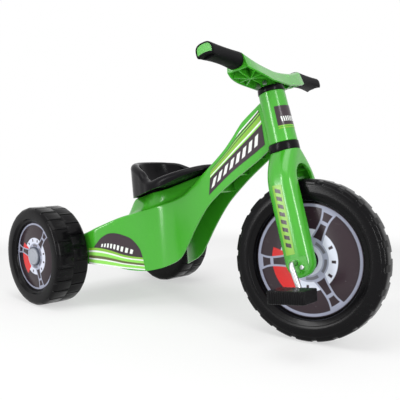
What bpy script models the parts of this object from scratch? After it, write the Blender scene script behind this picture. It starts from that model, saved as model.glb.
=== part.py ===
"""Kids' pedal tricycle: big pedalled front wheel, two wide rear wheels, moulded body, bucket seat.

Metres, +Z up, +X to the front of the trike and +Y to the rider's left. The floor is z = 0.
The model is drawn with the rear axle over x = 0, and at the end its origin moves to the middle
of the trike's length. The steering is drawn turned a little to the rider's left.
"""

import math

import bmesh
import bpy
from mathutils import Matrix, Vector

# Main sizes
WHEELBASE = 0.592
HEAD_TILT = math.radians(16.8)
STEER_AT_REST = math.radians(10.7)
TOUCH_GAP = 0.0003
RUNNING_GAP = 0.0005
SIDE_PLAY = 0.0008
TOOL_ROOM = 0.0010
ROUND_SIDES = 16
SCREW_SIDES = 12
NUT_SIDES = 6

# Front wheel
FRONT_RADIUS = 0.150
FRONT_TREAD_HALF = 0.0155
FRONT_TYRE_HALF = 0.0215
FRONT_SIDES = 40
LUG_DEPTH = 0.0016
FRONT_DISC_RADIUS = 0.1055
FRONT_WEB_HALF = 0.0070
FRONT_DISC_THICK = 0.0012
FRONT_WALL = 0.0032
FRONT_HUB_RADIUS = 0.021
FRONT_DISC_BORE = 0.0075
FRONT_DISC_SIDES = 32
LUG_FLATS = 4

# Rear wheels
REAR_RADIUS = 0.1115
REAR_WIDTH = 0.082
REAR_OUTER_FACE = 0.232
REAR_SIDES = 32
REAR_SHOULDER = 0.007
REAR_RIM_RADIUS = 0.0865
REAR_DISC_RADIUS = 0.076
REAR_RECESS = 0.0125
REAR_DISC_THICK = 0.0012
REAR_WALL = 0.0035
HUB_CAP_RADIUS = 0.0185
HUB_CAP_HEIGHT = 0.0075
HUB_CAP_WALL = 0.0018
HUB_CAP_EDGE = 0.0016
HUB_CAP_SIDES = 20
REAR_DISC_BORE = 0.0100
REAR_DISC_SIDES = 28

# Rear axle
AXLE_RADIUS = 0.005
AXLE_BUSH_RADIUS = 0.0085
AXLE_BUSH_FLANGE = 0.0125
AXLE_BUSH_FLANGE_THICK = 0.0016
AXLE_BUSH_LENGTH = 0.020
AXLE_BOSS_RADIUS = 0.0130
AXLE_WASHER_RADIUS = 0.0095
AXLE_WASHER_THICK = 0.0012
PUSH_NUT_RADIUS = 0.0085
PUSH_NUT_THICK = 0.0022

# Head tube and steering stem
HEAD_BOTTOM = 0.2230
HEAD_TOP = 0.3226
HEAD_RADIUS_BOTTOM = 0.0280
HEAD_RADIUS_TOP = 0.0252
HEAD_BORE = 0.0195
HEAD_SIDES = 24
LOWER_BAND = 0.0165
LOWER_BAND_RADIUS = 0.0290
BAND_CLEARANCE = 0.0020
UPPER_BAND = 0.0115
UPPER_BAND_RADIUS = 0.0262
BUSH_SPIGOT = 0.016
STEM_RADIUS = 0.0125
STEM_WALL = 0.0020
STEM_IN_FORK = 0.024
STEM_IN_BAR = 0.015

# Fork
LEG_OUTER = 0.0600
LEG_INNER = 0.0335
LEG_DEPTH = 0.0565
LEG_CORNER = 0.0120
ARCH_TOP = 0.1770
ARCH_DEPTH = 0.030
CROWN_RADIUS = 0.0288
SHOULDER_HEIGHT = 0.135
STEM_SCREW_RADIUS = 0.0025
STEM_SCREW_HEAD = 0.0048
STEM_SCREW_REACH = 0.0150
STEM_SCREW_DEPTH = 0.0060

# Crank and pedals
CRANK_RADIUS = 0.0050
CRANK_THROW = 0.0530
CRANK_PLANE = 0.0815
CRANK_BEND = 0.0105
CRANK_ANGLE = math.radians(-8.0)
PEDAL_LENGTH = 0.070
PEDAL_WIDTH = 0.055
PEDAL_THICK = 0.0225
PEDAL_CORNER = 0.0060
PEDAL_OFFSET = 0.0030
PEDAL_WELL_RADIUS = 0.0100
PEDAL_WELL_DEPTH = 0.0100
PEDAL_CAP_THICK = 0.0030
PEDAL_CAP_SUNK = 0.0004
PEDAL_EDGE = 0.0020
PEDAL_NOSE_UP = math.radians(6.0)
CRANK_BUSH_RADIUS = 0.0085
CRANK_BUSH_FLANGE = 0.0120
CRANK_BUSH_FLANGE_THICK = 0.0015
CLAMP_WIDTH = 0.036
CLAMP_HEIGHT = 0.026
CLAMP_AHEAD = 0.0055
CLAMP_DROP = 0.0040
CLAMP_THICK = 0.0030
CLAMP_SCREW_DROP = 0.0100
CLAMP_SCREW_AHEAD = 0.0120
CLAMP_SCREW_RADIUS = 0.0022
CLAMP_SCREW_HEAD = 0.0045
CLAMP_SCREW_REACH = 0.0130
SCREW_HEAD_THICK = 0.0025
CLAMP_CORNER = 0.0040
DRIVE_HUB_RADIUS = 0.0205
DRIVE_HUB_THICK = 0.0135
DRIVE_LUG_REACH = 0.0125
DRIVE_LUG_THICK = 0.0040
DRIVE_LUG_DEPTH = 0.0065
PEDAL_NUT_RADIUS = 0.0078
PEDAL_NUT_THICK = 0.0020

# Handlebar and grips
BAR_CLEARANCE = 0.0014
BAR_DIP = 0.0215
BAR_FLAT = 0.0300
BAR_SWEEP = 0.1150
BAR_MIDDLE_HALF_DEPTH = 0.0265
BAR_MIDDLE_HALF_HEIGHT = 0.0130
GRIP_INNER_END = 0.1150
GRIP_OUTER_END = 0.2190
GRIP_HALF_DEPTH = 0.0172
GRIP_HALF_HEIGHT = 0.0148
GRIP_WAIST = 0.0026
GRIP_WALL = 0.0030
GRIP_RECESS = 0.0140
BAR_WALL = 0.0030
BAR_RIB = 0.0020
BAR_RIB_LENGTH = 0.0920
BAR_RIB_ANGLES = (0, 45, 90, 135)
BAR_STAR = 0.0720
BAR_BOSS_RADIUS = 0.0175
BAR_BOLT_RADIUS = 0.0025
BAR_BOLT_HEAD = 0.0046
BAR_NUT_THICK = 0.0035

# Body shell: half widths, walls and the seat pedestal
BODY_WALL = 0.0035
WING_CLEARANCE = 0.0030
BEAM_HALF_WIDTH = 0.0330
BEAM_HEAD_HALF_WIDTH = 0.0170
TOP_CORNER = 0.0080
DECK_CROWN = 0.0020
BODY_REAR = -0.036
PEDESTAL_HALF_WIDTH = 0.0310
PEDESTAL_REAR = 0.1220
PEDESTAL_RAMP = 0.0120
RIB_THICK = 0.0030
RIB_RECESS = 0.0220

# Seat
SEAT_TILT = math.radians(17.9)
SEAT_BACK = 0.158
SEAT_BASE_HEIGHT = 0.2450
SEAT_CENTRE = 0.105
SEAT_SHELL = 0.0040
SEAT_LIP = 0.0055
SEAT_LIP_DROP = 0.0062
SEAT_SKIRT_LEAN = 0.16
SEAT_SIDES = 32
SEAT_BOLTS_AT = (0.055, 0.135)
BOLT_RADIUS = 0.0030
BOLT_HEAD_RADIUS = 0.0062
BOLT_HEAD_THICK = 0.0030
NUT_RADIUS = 0.0062
NUT_THICK = 0.0045
BOLT_PROUD = 0.0020

# Body edges seen from the side. Each point is a share of the way from the rear axle to the head
# tube, and a height in metres over the straight line between those two.
TOP_EDGE = (
    (-0.08, 0.036), (0.03, 0.024), (0.214, 0.001), (0.33, -0.003), (0.43, -0.009), (0.50, -0.017),
    (0.555, -0.0205), (0.60, -0.0165), (0.655, -0.0105), (0.70, -0.005), (0.775, 0.007),
    (0.82, 0.0185), (0.875, 0.0335), (0.93, 0.0385), (1.0, 0.0425),
)
BOTTOM_EDGE = (
    (-0.08, -0.008), (0.0, -0.022), (0.05, -0.038), (0.206, -0.076), (0.263, -0.093),
    (0.31, -0.112), (0.345, -0.129), (0.382, -0.141), (0.43, -0.146), (0.476, -0.147),
    (0.505, -0.1435), (0.534, -0.1315), (0.589, -0.105), (0.647, -0.0825), (0.68, -0.0735),
    (0.728, -0.066), (0.80, -0.0585), (0.87, -0.054), (1.0, -0.046),
)
# Plan of the body: how far the sides have flared from the beam to the wheels at each share.
FLARE = (
    (-0.08, 1.0), (0.16, 1.0), (0.21, 0.985), (0.258, 0.88), (0.315, 0.69), (0.348, 0.48),
    (0.388, 0.22), (0.42, 0.085), (0.455, 0.03), (0.50, 0.006), (0.56, 0.0), (1.0, 0.0),
)
BODY_STATIONS = (
    0.03, 0.10, 0.16, 0.20, 0.226, 0.240, 0.262, 0.288, 0.315, 0.345, 0.375, 0.410, 0.440, 0.476,
    0.505, 0.540, 0.565, 0.590, 0.620, 0.655, 0.70, 0.76, 0.82, 0.88, 0.94, 0.9745,
)
RIB_STATIONS = (0.71, 0.80, 0.89)

# Seat rim, nose to back, along the rider's left half: ahead of the seat's back edge, out, up.
SEAT_RIM = (
    (0.2020, 0.000, 0.0152), (0.1990, 0.024, 0.0152), (0.1880, 0.043, 0.0150),
    (0.1730, 0.058, 0.0145), (0.1500, 0.073, 0.0140), (0.1240, 0.086, 0.0120),
    (0.0960, 0.091, 0.0110), (0.0780, 0.088, 0.0220), (0.0620, 0.084, 0.0420),
    (0.0320, 0.073, 0.0640), (0.0080, 0.050, 0.0745), (-0.0040, 0.025, 0.0790),
    (-0.0070, 0.000, 0.0800),
)
SEAT_BOWL = (0.45, 0.62, 0.75, 0.86, 0.94, 1.0)
SEAT_BOWL_POWER = 6.0
# Lower edge of the seat's outer skirt: ahead of the back edge, and height over the base plane.
SEAT_SKIRT_EDGE = (
    (-0.007, 0.0012), (0.000, 0.0010), (0.012, -0.0020), (0.080, -0.0085), (0.125, -0.0080),
    (0.160, -0.0010), (0.190, 0.0040), (0.202, 0.0070),
)


def clear_scene():
    """Remove everything that the new file starts with."""
    for item in list(bpy.data.objects):
        bpy.data.objects.remove(item, do_unlink=True)


def plastic(name, colour, roughness, metallic=0.0):
    """A Principled material of one colour."""
    material = bpy.data.materials.new(name)
    material.use_nodes = True
    shader = material.node_tree.nodes["Principled BSDF"]
    shader.inputs["Base Color"].default_value = (*colour, 1.0)
    shader.inputs["Roughness"].default_value = roughness
    shader.inputs["Metallic"].default_value = metallic
    material.diffuse_color = (*colour, 1.0)
    return material


def frame(name, parent=None, matrix=None):
    """An empty that carries a group of pieces, with its origin on their axis."""
    empty = bpy.data.objects.new(name, None)
    bpy.context.scene.collection.objects.link(empty)
    empty.parent = parent
    empty.matrix_local = matrix or Matrix.Identity(4)
    return empty


def piece(name, bm, material, parent, matrix=None):
    """Make an object of a bmesh, smooth where it is round."""
    bmesh.ops.recalc_face_normals(bm, faces=bm.faces)
    mesh = bpy.data.meshes.new(name)
    bm.to_mesh(mesh)
    bm.free()
    mesh.shade_smooth()
    mesh.set_sharp_from_angle(angle=math.radians(32))
    item = bpy.data.objects.new(name, mesh)
    bpy.context.scene.collection.objects.link(item)
    item.parent = parent
    item.matrix_local = matrix or Matrix.Identity(4)
    if material:
        mesh.materials.append(material)
    return item


def tool(target, bm, operation, matrix=None, name=None):
    """Cut from a piece, or add to it, with a hidden helper beside it."""
    helper = piece(name or target.name + "_" + operation.lower(), bm, None, target.parent, matrix)
    helper.hide_render = True
    helper.display_type = "WIRE"
    modifier = target.modifiers.new(helper.name, "BOOLEAN")
    modifier.operation = operation
    modifier.solver = "EXACT"
    modifier.object = helper
    return helper


def skin(bm, rings, around=True, along=False, cap_first=False, cap_last=False):
    """Join rings of vertices with quads, and cap the ends where asked."""
    rows = [[bm.verts.new(point) for point in ring] for ring in rings]
    count = len(rows[0])
    pairs = list(zip(rows, rows[1:] + rows[:1])) if along else list(zip(rows, rows[1:]))
    for low, high in pairs:
        for k in range(count if around else count - 1):
            following = (k + 1) % count
            bm.faces.new((low[k], low[following], high[following], high[k]))
    if cap_first:
        bm.faces.new(rows[0])
    if cap_last:
        bm.faces.new(rows[-1])
    return rows


def loft(rings):
    """A closed solid through rings of points."""
    bm = bmesh.new()
    skin(bm, rings, cap_first=True, cap_last=True)
    return bm


def turned(profile, sides, dent=None):
    """A ring turned about Y from a closed outline of (radius, y) points.

    A flat of the ring faces straight down. dent(k, turn) takes a depth from a point's radius.
    """
    rings = []
    for turn in range(sides):
        angle = (turn + 0.5) * math.tau / sides
        ring = []
        for k, (radius, y) in enumerate(profile):
            reach = radius - (dent(k, turn) if dent else 0.0)
            ring.append((reach * math.sin(angle), y, -reach * math.cos(angle)))
        rings.append(ring)
    bm = bmesh.new()
    skin(bm, rings, along=True)
    return bm


def pin(outline, sides):
    """A solid stepped pin along Y through (radius, y) points, flat at both ends."""
    angles = [(k + 0.5) * math.tau / sides for k in range(sides)]
    return loft([[(r * math.sin(a), y, -r * math.cos(a)) for a in angles] for r, y in outline])


def rod(radius, start, end, sides=ROUND_SIDES, end_radius=None):
    """A solid round bar along Y, tapered where end_radius is given."""
    return pin(((radius, start), (end_radius or radius, end)), sides)


def sleeve(outer, inner, start, end, sides=ROUND_SIDES):
    """A plain tube along Y."""
    return turned(((inner, start), (outer, start), (outer, end), (inner, end)), sides)


def flanged(outer, flange, inner, start, end, flange_thick, sides=ROUND_SIDES):
    """A bush along Y whose flange is at its start; end may lie either side of it."""
    side = math.copysign(1.0, end - start)
    neck = start + side * flange_thick
    outline = ((inner, start), (flange, start), (flange, neck), (outer, neck), (outer, end),
               (inner, end))
    return turned(outline, sides)


def block(size, centre=(0.0, 0.0, 0.0)):
    """A box of a full size about a centre."""
    bm = bmesh.new()
    bmesh.ops.create_cube(bm, size=1.0)
    bmesh.ops.scale(bm, vec=size, verts=bm.verts)
    bmesh.ops.translate(bm, vec=centre, verts=bm.verts)
    return bm


def bore_for(radius, gap=RUNNING_GAP, sides=ROUND_SIDES):
    """Corner radius of a faceted hole whose flats clear a shaft by the gap."""
    return (radius + gap) / math.cos(math.pi / sides)


def rounded(half_width, half_height, corner, steps=3):
    """Points round a rectangle with round corners, as (across, up)."""
    points = []
    for quarter, (sx, sz) in enumerate(((1, 1), (-1, 1), (-1, -1), (1, -1))):
        for step in range(steps + 1):
            angle = (quarter + step / steps) * math.pi / 2
            points.append((sx * (half_width - corner) + corner * math.cos(angle),
                           sz * (half_height - corner) + corner * math.sin(angle)))
    return points


def along_curve(points, share):
    """Height of a smooth curve through (share, height) points, with no overshoot."""
    for k in range(len(points) - 1):
        if share <= points[k + 1][0] or k == len(points) - 2:
            break
    (x0, y0), (x1, y1) = points[k], points[k + 1]
    span = x1 - x0
    rise = (y1 - y0) / span

    def slope_at(n):
        if n <= 0 or n >= len(points) - 1:
            return rise
        before = (points[n][1] - points[n - 1][1]) / (points[n][0] - points[n - 1][0])
        after = (points[n + 1][1] - points[n][1]) / (points[n + 1][0] - points[n][0])
        return 0.0 if before * after <= 0 else 2 * before * after / (before + after)

    t = (share - x0) / span
    m0, m1 = slope_at(k) * span, slope_at(k + 1) * span
    return ((2 * t ** 3 - 3 * t ** 2 + 1) * y0 + (t ** 3 - 2 * t ** 2 + t) * m0
            + (3 * t ** 2 - 2 * t ** 3) * y1 + (t ** 3 - t ** 2) * m1)


def smooth_step(value):
    """0 below 0, 1 above 1 and an S between."""
    t = min(1.0, max(0.0, value))
    return t * t * (3 - 2 * t)


REAR_AXLE_HEIGHT = REAR_RADIUS * math.cos(math.pi / REAR_SIDES)
REAR_INNER_FACE = REAR_OUTER_FACE - REAR_WIDTH
WING_HALF_WIDTH = (REAR_INNER_FACE - WING_CLEARANCE - AXLE_BUSH_FLANGE_THICK
                   - AXLE_WASHER_THICK)
STEERING_TURN = Matrix.Rotation(-HEAD_TILT, 4, "Y") @ Matrix.Rotation(STEER_AT_REST, 4, "Z")
# How far the front wheel is turned on its axle, in the steering's frame, to stand on a flat.
FLAT_DOWN = math.atan(math.tan(HEAD_TILT) * math.cos(STEER_AT_REST))


def front_tyre_profile():
    """Half outline of the front wheel's skin, hub to tread, as (radius, |y|)."""
    return (
        (FRONT_HUB_RADIUS, FRONT_WEB_HALF),
        (FRONT_DISC_RADIUS + 0.0012, FRONT_WEB_HALF),
        (FRONT_DISC_RADIUS + 0.0040, FRONT_TYRE_HALF - 0.0050),
        (FRONT_DISC_RADIUS * 1.14, FRONT_TYRE_HALF - 0.0012),
        (FRONT_DISC_RADIUS * 1.20, FRONT_TYRE_HALF),
        (FRONT_RADIUS - 0.0115, FRONT_TYRE_HALF - 0.0008),
        (FRONT_RADIUS - 0.0040, FRONT_TREAD_HALF + 0.0030),
        (FRONT_RADIUS, FRONT_TREAD_HALF - 0.0035),
    )


def front_axle_height():
    """Height that puts the leaning front wheel's lowest flat on the floor."""
    place = STEERING_TURN @ Matrix.Rotation(FLAT_DOWN, 4, "Y")
    lowest = 0.0
    for turn in range(FRONT_SIDES):
        angle = (turn + 0.5) * math.tau / FRONT_SIDES
        for radius, half in front_tyre_profile():
            for y in (-half, half):
                point = Vector((radius * math.sin(angle), y, -radius * math.cos(angle)))
                lowest = min(lowest, (place @ point).z)
    return -lowest


FRONT_AXLE_HEIGHT = front_axle_height()
HEAD_MIDDLE = (HEAD_BOTTOM + HEAD_TOP) / 2
HEAD_X = WHEELBASE - HEAD_MIDDLE * math.sin(HEAD_TILT)
HEAD_Z = FRONT_AXLE_HEIGHT + HEAD_MIDDLE * math.cos(HEAD_TILT)
BAND_BOTTOM = HEAD_BOTTOM - LOWER_BAND
COLLAR_TOP = HEAD_TOP + UPPER_BAND
BAR_HEIGHT = COLLAR_TOP + BAR_CLEARANCE + BAR_MIDDLE_HALF_HEIGHT + BAR_DIP


def body_point(share, height, y):
    """A point over the line from the rear axle to the head tube, in planes that tilt with it."""
    lean = math.tan(HEAD_TILT) * smooth_step(share) * height
    line = REAR_AXLE_HEIGHT + share * (HEAD_Z - REAR_AXLE_HEIGHT)
    return (share * HEAD_X - lean, y, line + height)


def half_width_at(share):
    """Half the body's width at a station."""
    narrowed = smooth_step((share - 0.64) / 0.30)
    beam = BEAM_HALF_WIDTH + (BEAM_HEAD_HALF_WIDTH - BEAM_HALF_WIDTH) * narrowed
    return beam + (WING_HALF_WIDTH - beam) * along_curve(FLARE, share)


def pedestal_height(share):
    """How far the seat pedestal stands over the body's top at a station.

    It ends at the seat's base plane, which is found along the station's leaning line.
    """
    top = along_curve(TOP_EDGE, share)
    low_x, _, low_z = body_point(share, 0.0, 0.0)
    lean = math.tan(HEAD_TILT) * smooth_step(share)
    pitch = math.tan(SEAT_TILT)
    plane = SEAT_BASE_HEIGHT + pitch * (low_x - SEAT_BACK) - low_z
    gap = TOUCH_GAP / math.cos(SEAT_TILT) + DECK_CROWN
    reach = (plane - gap) / (1 + pitch * lean)
    x, _, _ = body_point(share, top, 0.0)
    ramp = smooth_step((x - PEDESTAL_REAR + PEDESTAL_RAMP) / PEDESTAL_RAMP)
    return max(0.0, reach - top) * ramp


def body_section(share, inset=0.0, lift=0.0):
    """Points from the right bottom edge over the top to the left one."""
    top = along_curve(TOP_EDGE, share) - inset
    bottom = along_curve(BOTTOM_EDGE, share) + lift
    wide = half_width_at(share) - inset
    corner = min(TOP_CORNER, 0.4 * wide)
    post = pedestal_height(share)
    post_half = min(PEDESTAL_HALF_WIDTH, half_width_at(share) - TOP_CORNER - 0.0020) - inset
    half = [
        (wide, bottom),
        (wide, 0.5 * (top + bottom)),
        (wide, top - corner),
        (wide - 0.30 * corner, top - 0.30 * corner),
        (wide - corner, top),
        (post_half + 0.0015, top + 0.0002),
        (post_half, top + 0.85 * post + 0.0004),
        (post_half - 0.0040, top + post + 0.0006),
        (0.45 * post_half, top + post + 0.8 * DECK_CROWN),
    ]
    right = [body_point(share, height, -y) for y, height in half]
    left = [body_point(share, height, y) for y, height in reversed(half)]
    middle = [body_point(share, top + post + DECK_CROWN, 0.0)]
    return right + middle + left


def body_shell(material, parent):
    """The moulded body: open below, with head tube, seat pedestal, cross ribs and axle bosses."""
    bm = bmesh.new()
    rear = BODY_REAR / HEAD_X
    rings = [body_section(share) for share in (rear,) + BODY_STATIONS]
    rows = skin(bm, rings, around=False)
    bm.faces.new(rows[0])
    shell = piece("body_shell", bm, material, parent)
    thick = shell.modifiers.new("wall", "SOLIDIFY")
    thick.thickness = BODY_WALL
    thick.offset = -1.0
    thick.use_even_offset = True
    thick.thickness_clamp = 1.0

    for number, share in enumerate(RIB_STATIONS):
        low = body_section(share, inset=0.6 * BODY_WALL, lift=RIB_RECESS)
        high = body_section(share + RIB_THICK / HEAD_X, inset=0.6 * BODY_WALL, lift=RIB_RECESS)
        tool(shell, loft([low, high]), "UNION", name=f"body_rib_{number}")

    for side, sign in (("right", -1), ("left", 1)):
        boss = rod(AXLE_BOSS_RADIUS, sign * (WING_HALF_WIDTH - 0.5 * BODY_WALL),
                   sign * (WING_HALF_WIDTH - AXLE_BUSH_LENGTH))
        at_axle = Matrix.Translation((0, 0, REAR_AXLE_HEIGHT))
        tool(shell, boss, "UNION", at_axle, f"axle_boss_{side}")
    axle_bore = rod(bore_for(AXLE_BUSH_RADIUS, TOUCH_GAP), -2 * WING_HALF_WIDTH,
                    2 * WING_HALF_WIDTH)
    tool(shell, axle_bore, "DIFFERENCE", at_axle, "axle_bore")

    head = steering_place() @ along_z()
    tube = rod(HEAD_RADIUS_BOTTOM, HEAD_BOTTOM - 0.002, HEAD_TOP, HEAD_SIDES, HEAD_RADIUS_TOP)
    tool(shell, tube, "UNION", head, "head_tube")
    below = rod(LOWER_BAND_RADIUS + BAND_CLEARANCE, HEAD_BOTTOM - 0.06, HEAD_BOTTOM, HEAD_SIDES)
    tool(shell, below, "DIFFERENCE", head, "band_clearance")
    bore = rod(HEAD_BORE, HEAD_BOTTOM - 0.02, HEAD_TOP + 0.02, HEAD_SIDES)
    tool(shell, bore, "DIFFERENCE", head, "head_bore")

    for number, ahead in enumerate(SEAT_BOLTS_AT):
        hole = rod(bore_for(BOLT_RADIUS), -0.030, 0.030)
        place = seat_place() @ Matrix.Translation((ahead, 0, 0)) @ along_z()
        tool(shell, hole, "DIFFERENCE", place, f"seat_bolt_hole_{number}")
    return shell


def steering_place():
    """The straight-ahead head axis, from the front wheel's centre."""
    return (Matrix.Translation((WHEELBASE, 0, FRONT_AXLE_HEIGHT))
            @ Matrix.Rotation(-HEAD_TILT, 4, "Y"))


def along_z():
    """Turns what is drawn along +Y to lie along +Z."""
    return Matrix.Rotation(math.pi / 2, 4, "X")


def seat_place():
    """The seat's own frame: its base plane, from under the back edge."""
    return (Matrix.Translation((SEAT_BACK, 0, SEAT_BASE_HEIGHT))
            @ Matrix.Rotation(-SEAT_TILT, 4, "Y"))


def seat_rim():
    """The seat's rim as a closed loop of points, sampled from its half outline."""
    left = [Vector(point) for point in SEAT_RIM]
    right = [Vector((x, -y, z)) for x, y, z in SEAT_RIM[-2:0:-1]]
    loop = left + right
    count = len(loop)
    lengths = [(loop[(k + 1) % count] - loop[k]).length for k in range(count)]
    total = sum(lengths)
    points = []
    for step in range(SEAT_SIDES):
        distance = step * total / SEAT_SIDES
        k = 0
        while distance > lengths[k]:
            distance -= lengths[k]
            k += 1
        t = distance / lengths[k]
        a, b, c, d = (loop[(k + n) % count] for n in (-1, 0, 1, 2))
        points.append(0.5 * ((2 * b) + (c - a) * t + (2 * a - 5 * b + 4 * c - d) * t ** 2
                             + (3 * b - a - 3 * c + d) * t ** 3))
    return points


def seat(material, parent):
    """A moulded bucket seat: dished pan on a flat base, raised back, and a skirt all round."""
    rim = seat_rim()
    centre = Vector((SEAT_CENTRE, 0.0, 0.0))
    columns = []
    for k, point in enumerate(rim):
        ahead = rim[(k + 1) % SEAT_SIDES] - rim[k - 1]
        out = Vector((ahead.y, -ahead.x, 0.0)).normalized()
        flat = Vector((point.x, point.y, 0.0)) - centre
        column = []
        under = []
        for share in SEAT_BOWL:
            spot = centre + flat * share
            height = SEAT_SHELL + (point.z - SEAT_SHELL) * share ** SEAT_BOWL_POWER
            column.append((spot.x, spot.y, height))
            below = spot + out * SEAT_SHELL * smooth_step((share - 0.5) / 0.4)
            under.append((below.x, below.y, max(0.0, height - SEAT_SHELL)))
        edge = along_curve(SEAT_SKIRT_EDGE, point.x)
        lean = SEAT_SKIRT_LEAN * (point.z - edge)
        inside = SEAT_LIP - SEAT_SHELL
        for reach, back, height in ((0.5 * SEAT_LIP, 0.0, point.z + 0.0008),
                                    (SEAT_LIP, 0.0, point.z - 0.0012),
                                    (SEAT_LIP, lean, edge),
                                    (inside, lean, edge),
                                    (inside, 0.0, point.z - SEAT_LIP_DROP)):
            column.append((point.x + reach * out.x - back, point.y + reach * out.y, height))
        columns.append(column + under[-2::-1])
    bm = bmesh.new()
    rings = [[column[n] for column in columns] for n in range(len(columns[0]))]
    skin(bm, rings, cap_first=True, cap_last=True)
    item = piece("seat", bm, material, parent)
    for number, ahead in enumerate(SEAT_BOLTS_AT):
        place = Matrix.Translation((ahead, 0, 0)) @ along_z()
        hole = rod(bore_for(BOLT_RADIUS), -0.02, 0.03)
        tool(item, hole, "DIFFERENCE", place, f"seat_hole_{number}")
        well = rod(BOLT_HEAD_RADIUS + TOOL_ROOM, SEAT_SHELL, 0.03)
        tool(item, well, "DIFFERENCE", place, f"seat_bolt_well_{number}")
    return item


def seat_fasteners(steel, parent):
    """Two bolts down through the pan and the pedestal, each with a nut below."""
    for name, ahead in zip(("rear", "front"), SEAT_BOLTS_AT):
        place = Matrix.Translation((ahead, 0, 0)) @ along_z()
        seat_top = SEAT_SHELL + TOUCH_GAP
        nut_top = -(BODY_WALL + 3 * TOUCH_GAP + DECK_CROWN)
        tip = nut_top - NUT_THICK - BOLT_PROUD
        head_top = seat_top + BOLT_HEAD_THICK
        outline = ((BOLT_HEAD_RADIUS, head_top), (BOLT_HEAD_RADIUS, seat_top),
                   (BOLT_RADIUS, seat_top), (BOLT_RADIUS, tip))
        piece(f"seat_bolt_{name}", pin(outline, ROUND_SIDES), steel, parent, place)
        nut = sleeve(NUT_RADIUS, bore_for(BOLT_RADIUS, TOUCH_GAP, NUT_SIDES),
                     nut_top - NUT_THICK, nut_top, NUT_SIDES)
        piece(f"seat_nut_{name}", nut, steel, parent, place)


def front_wheel(tyre, parent):
    """Hollow moulded front wheel with shoulder lugs, open inside to the crank's bore."""
    bore = bore_for(CRANK_RADIUS + TOOL_ROOM)
    half = front_tyre_profile()
    inside = (
        (bore, FRONT_WEB_HALF - FRONT_WALL),
        (FRONT_DISC_RADIUS + 0.0040, FRONT_WEB_HALF - FRONT_WALL),
        (FRONT_DISC_RADIUS * 1.18, FRONT_TYRE_HALF - FRONT_WALL - 0.0010),
        (FRONT_RADIUS - FRONT_WALL - 0.0030, FRONT_TREAD_HALF - 0.0045),
    )
    outline = [(bore, -FRONT_WEB_HALF)]
    outline += [(r, -y) for r, y in half]
    outline += [(r, y) for r, y in reversed(half)]
    outline += [(bore, FRONT_WEB_HALF)]
    outline += list(inside)
    outline += [(r, -y) for r, y in reversed(inside)]
    shoulders = (len(half) - 1, len(half) + 2)

    def dent(k, turn):
        return LUG_DEPTH if k in shoulders and turn % LUG_FLATS < LUG_FLATS / 2 else 0.0

    flat_down = Matrix.Rotation(FLAT_DOWN - CRANK_ANGLE, 4, "Y")
    return piece("front_wheel", turned(outline, FRONT_SIDES, dent), tyre, parent, flat_down)


def printed_disc(name, radius, inner, face, thick, sign, sides, material, parent):
    """A thin printed disc lying on a wheel's web."""
    start = sign * (face + TOUCH_GAP)
    bm = sleeve(radius, inner, start, start + sign * thick, sides)
    return piece(name, bm, material, parent)


def rear_wheel(side, sign, tyre, parent):
    """Hollow moulded rear wheel: flat wide tread, deep outer recess, plain inner side."""
    outer = REAR_OUTER_FACE
    inner = REAR_INNER_FACE
    bore = bore_for(AXLE_RADIUS)
    web = outer - REAR_RECESS
    wall = REAR_WALL
    outline = (
        (bore, web),
        (REAR_DISC_RADIUS + 0.0012, web),
        (REAR_RIM_RADIUS - 0.0030, outer - 0.0040),
        (REAR_RIM_RADIUS, outer),
        (REAR_RADIUS - REAR_SHOULDER, outer - 0.0004),
        (REAR_RADIUS, outer - REAR_SHOULDER),
        (REAR_RADIUS, inner + REAR_SHOULDER),
        (REAR_RADIUS - REAR_SHOULDER, inner),
        (bore, inner),
        (bore, inner + wall),
        (REAR_RADIUS - REAR_SHOULDER, inner + wall),
        (REAR_RADIUS - wall, inner + REAR_SHOULDER),
        (REAR_RADIUS - wall, outer - REAR_SHOULDER),
        (REAR_RIM_RADIUS, outer - wall - 0.0020),
        (REAR_DISC_RADIUS + 0.0030, web - wall),
        (bore, web - wall),
    )
    placed = [(r, sign * y) for r, y in outline]
    return piece(f"rear_{side}_wheel", turned(placed, REAR_SIDES), tyre, parent)


def hub_cap(side, sign, material, parent):
    """Round cap over the axle end, standing on the printed disc."""
    base = REAR_OUTER_FACE - REAR_RECESS + REAR_DISC_THICK + 2 * TOUCH_GAP
    top = base + HUB_CAP_HEIGHT
    outline = (
        (HUB_CAP_RADIUS - HUB_CAP_WALL, base),
        (HUB_CAP_RADIUS, base),
        (HUB_CAP_RADIUS, top - HUB_CAP_EDGE),
        (HUB_CAP_RADIUS - HUB_CAP_EDGE, top),
    )
    placed = [(HUB_CAP_RADIUS - HUB_CAP_WALL, sign * (top - HUB_CAP_WALL))]
    placed += [(r, sign * y) for r, y in outline]
    return piece(f"rear_{side}_hub_cap", pin(placed, HUB_CAP_SIDES), material, parent)


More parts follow.
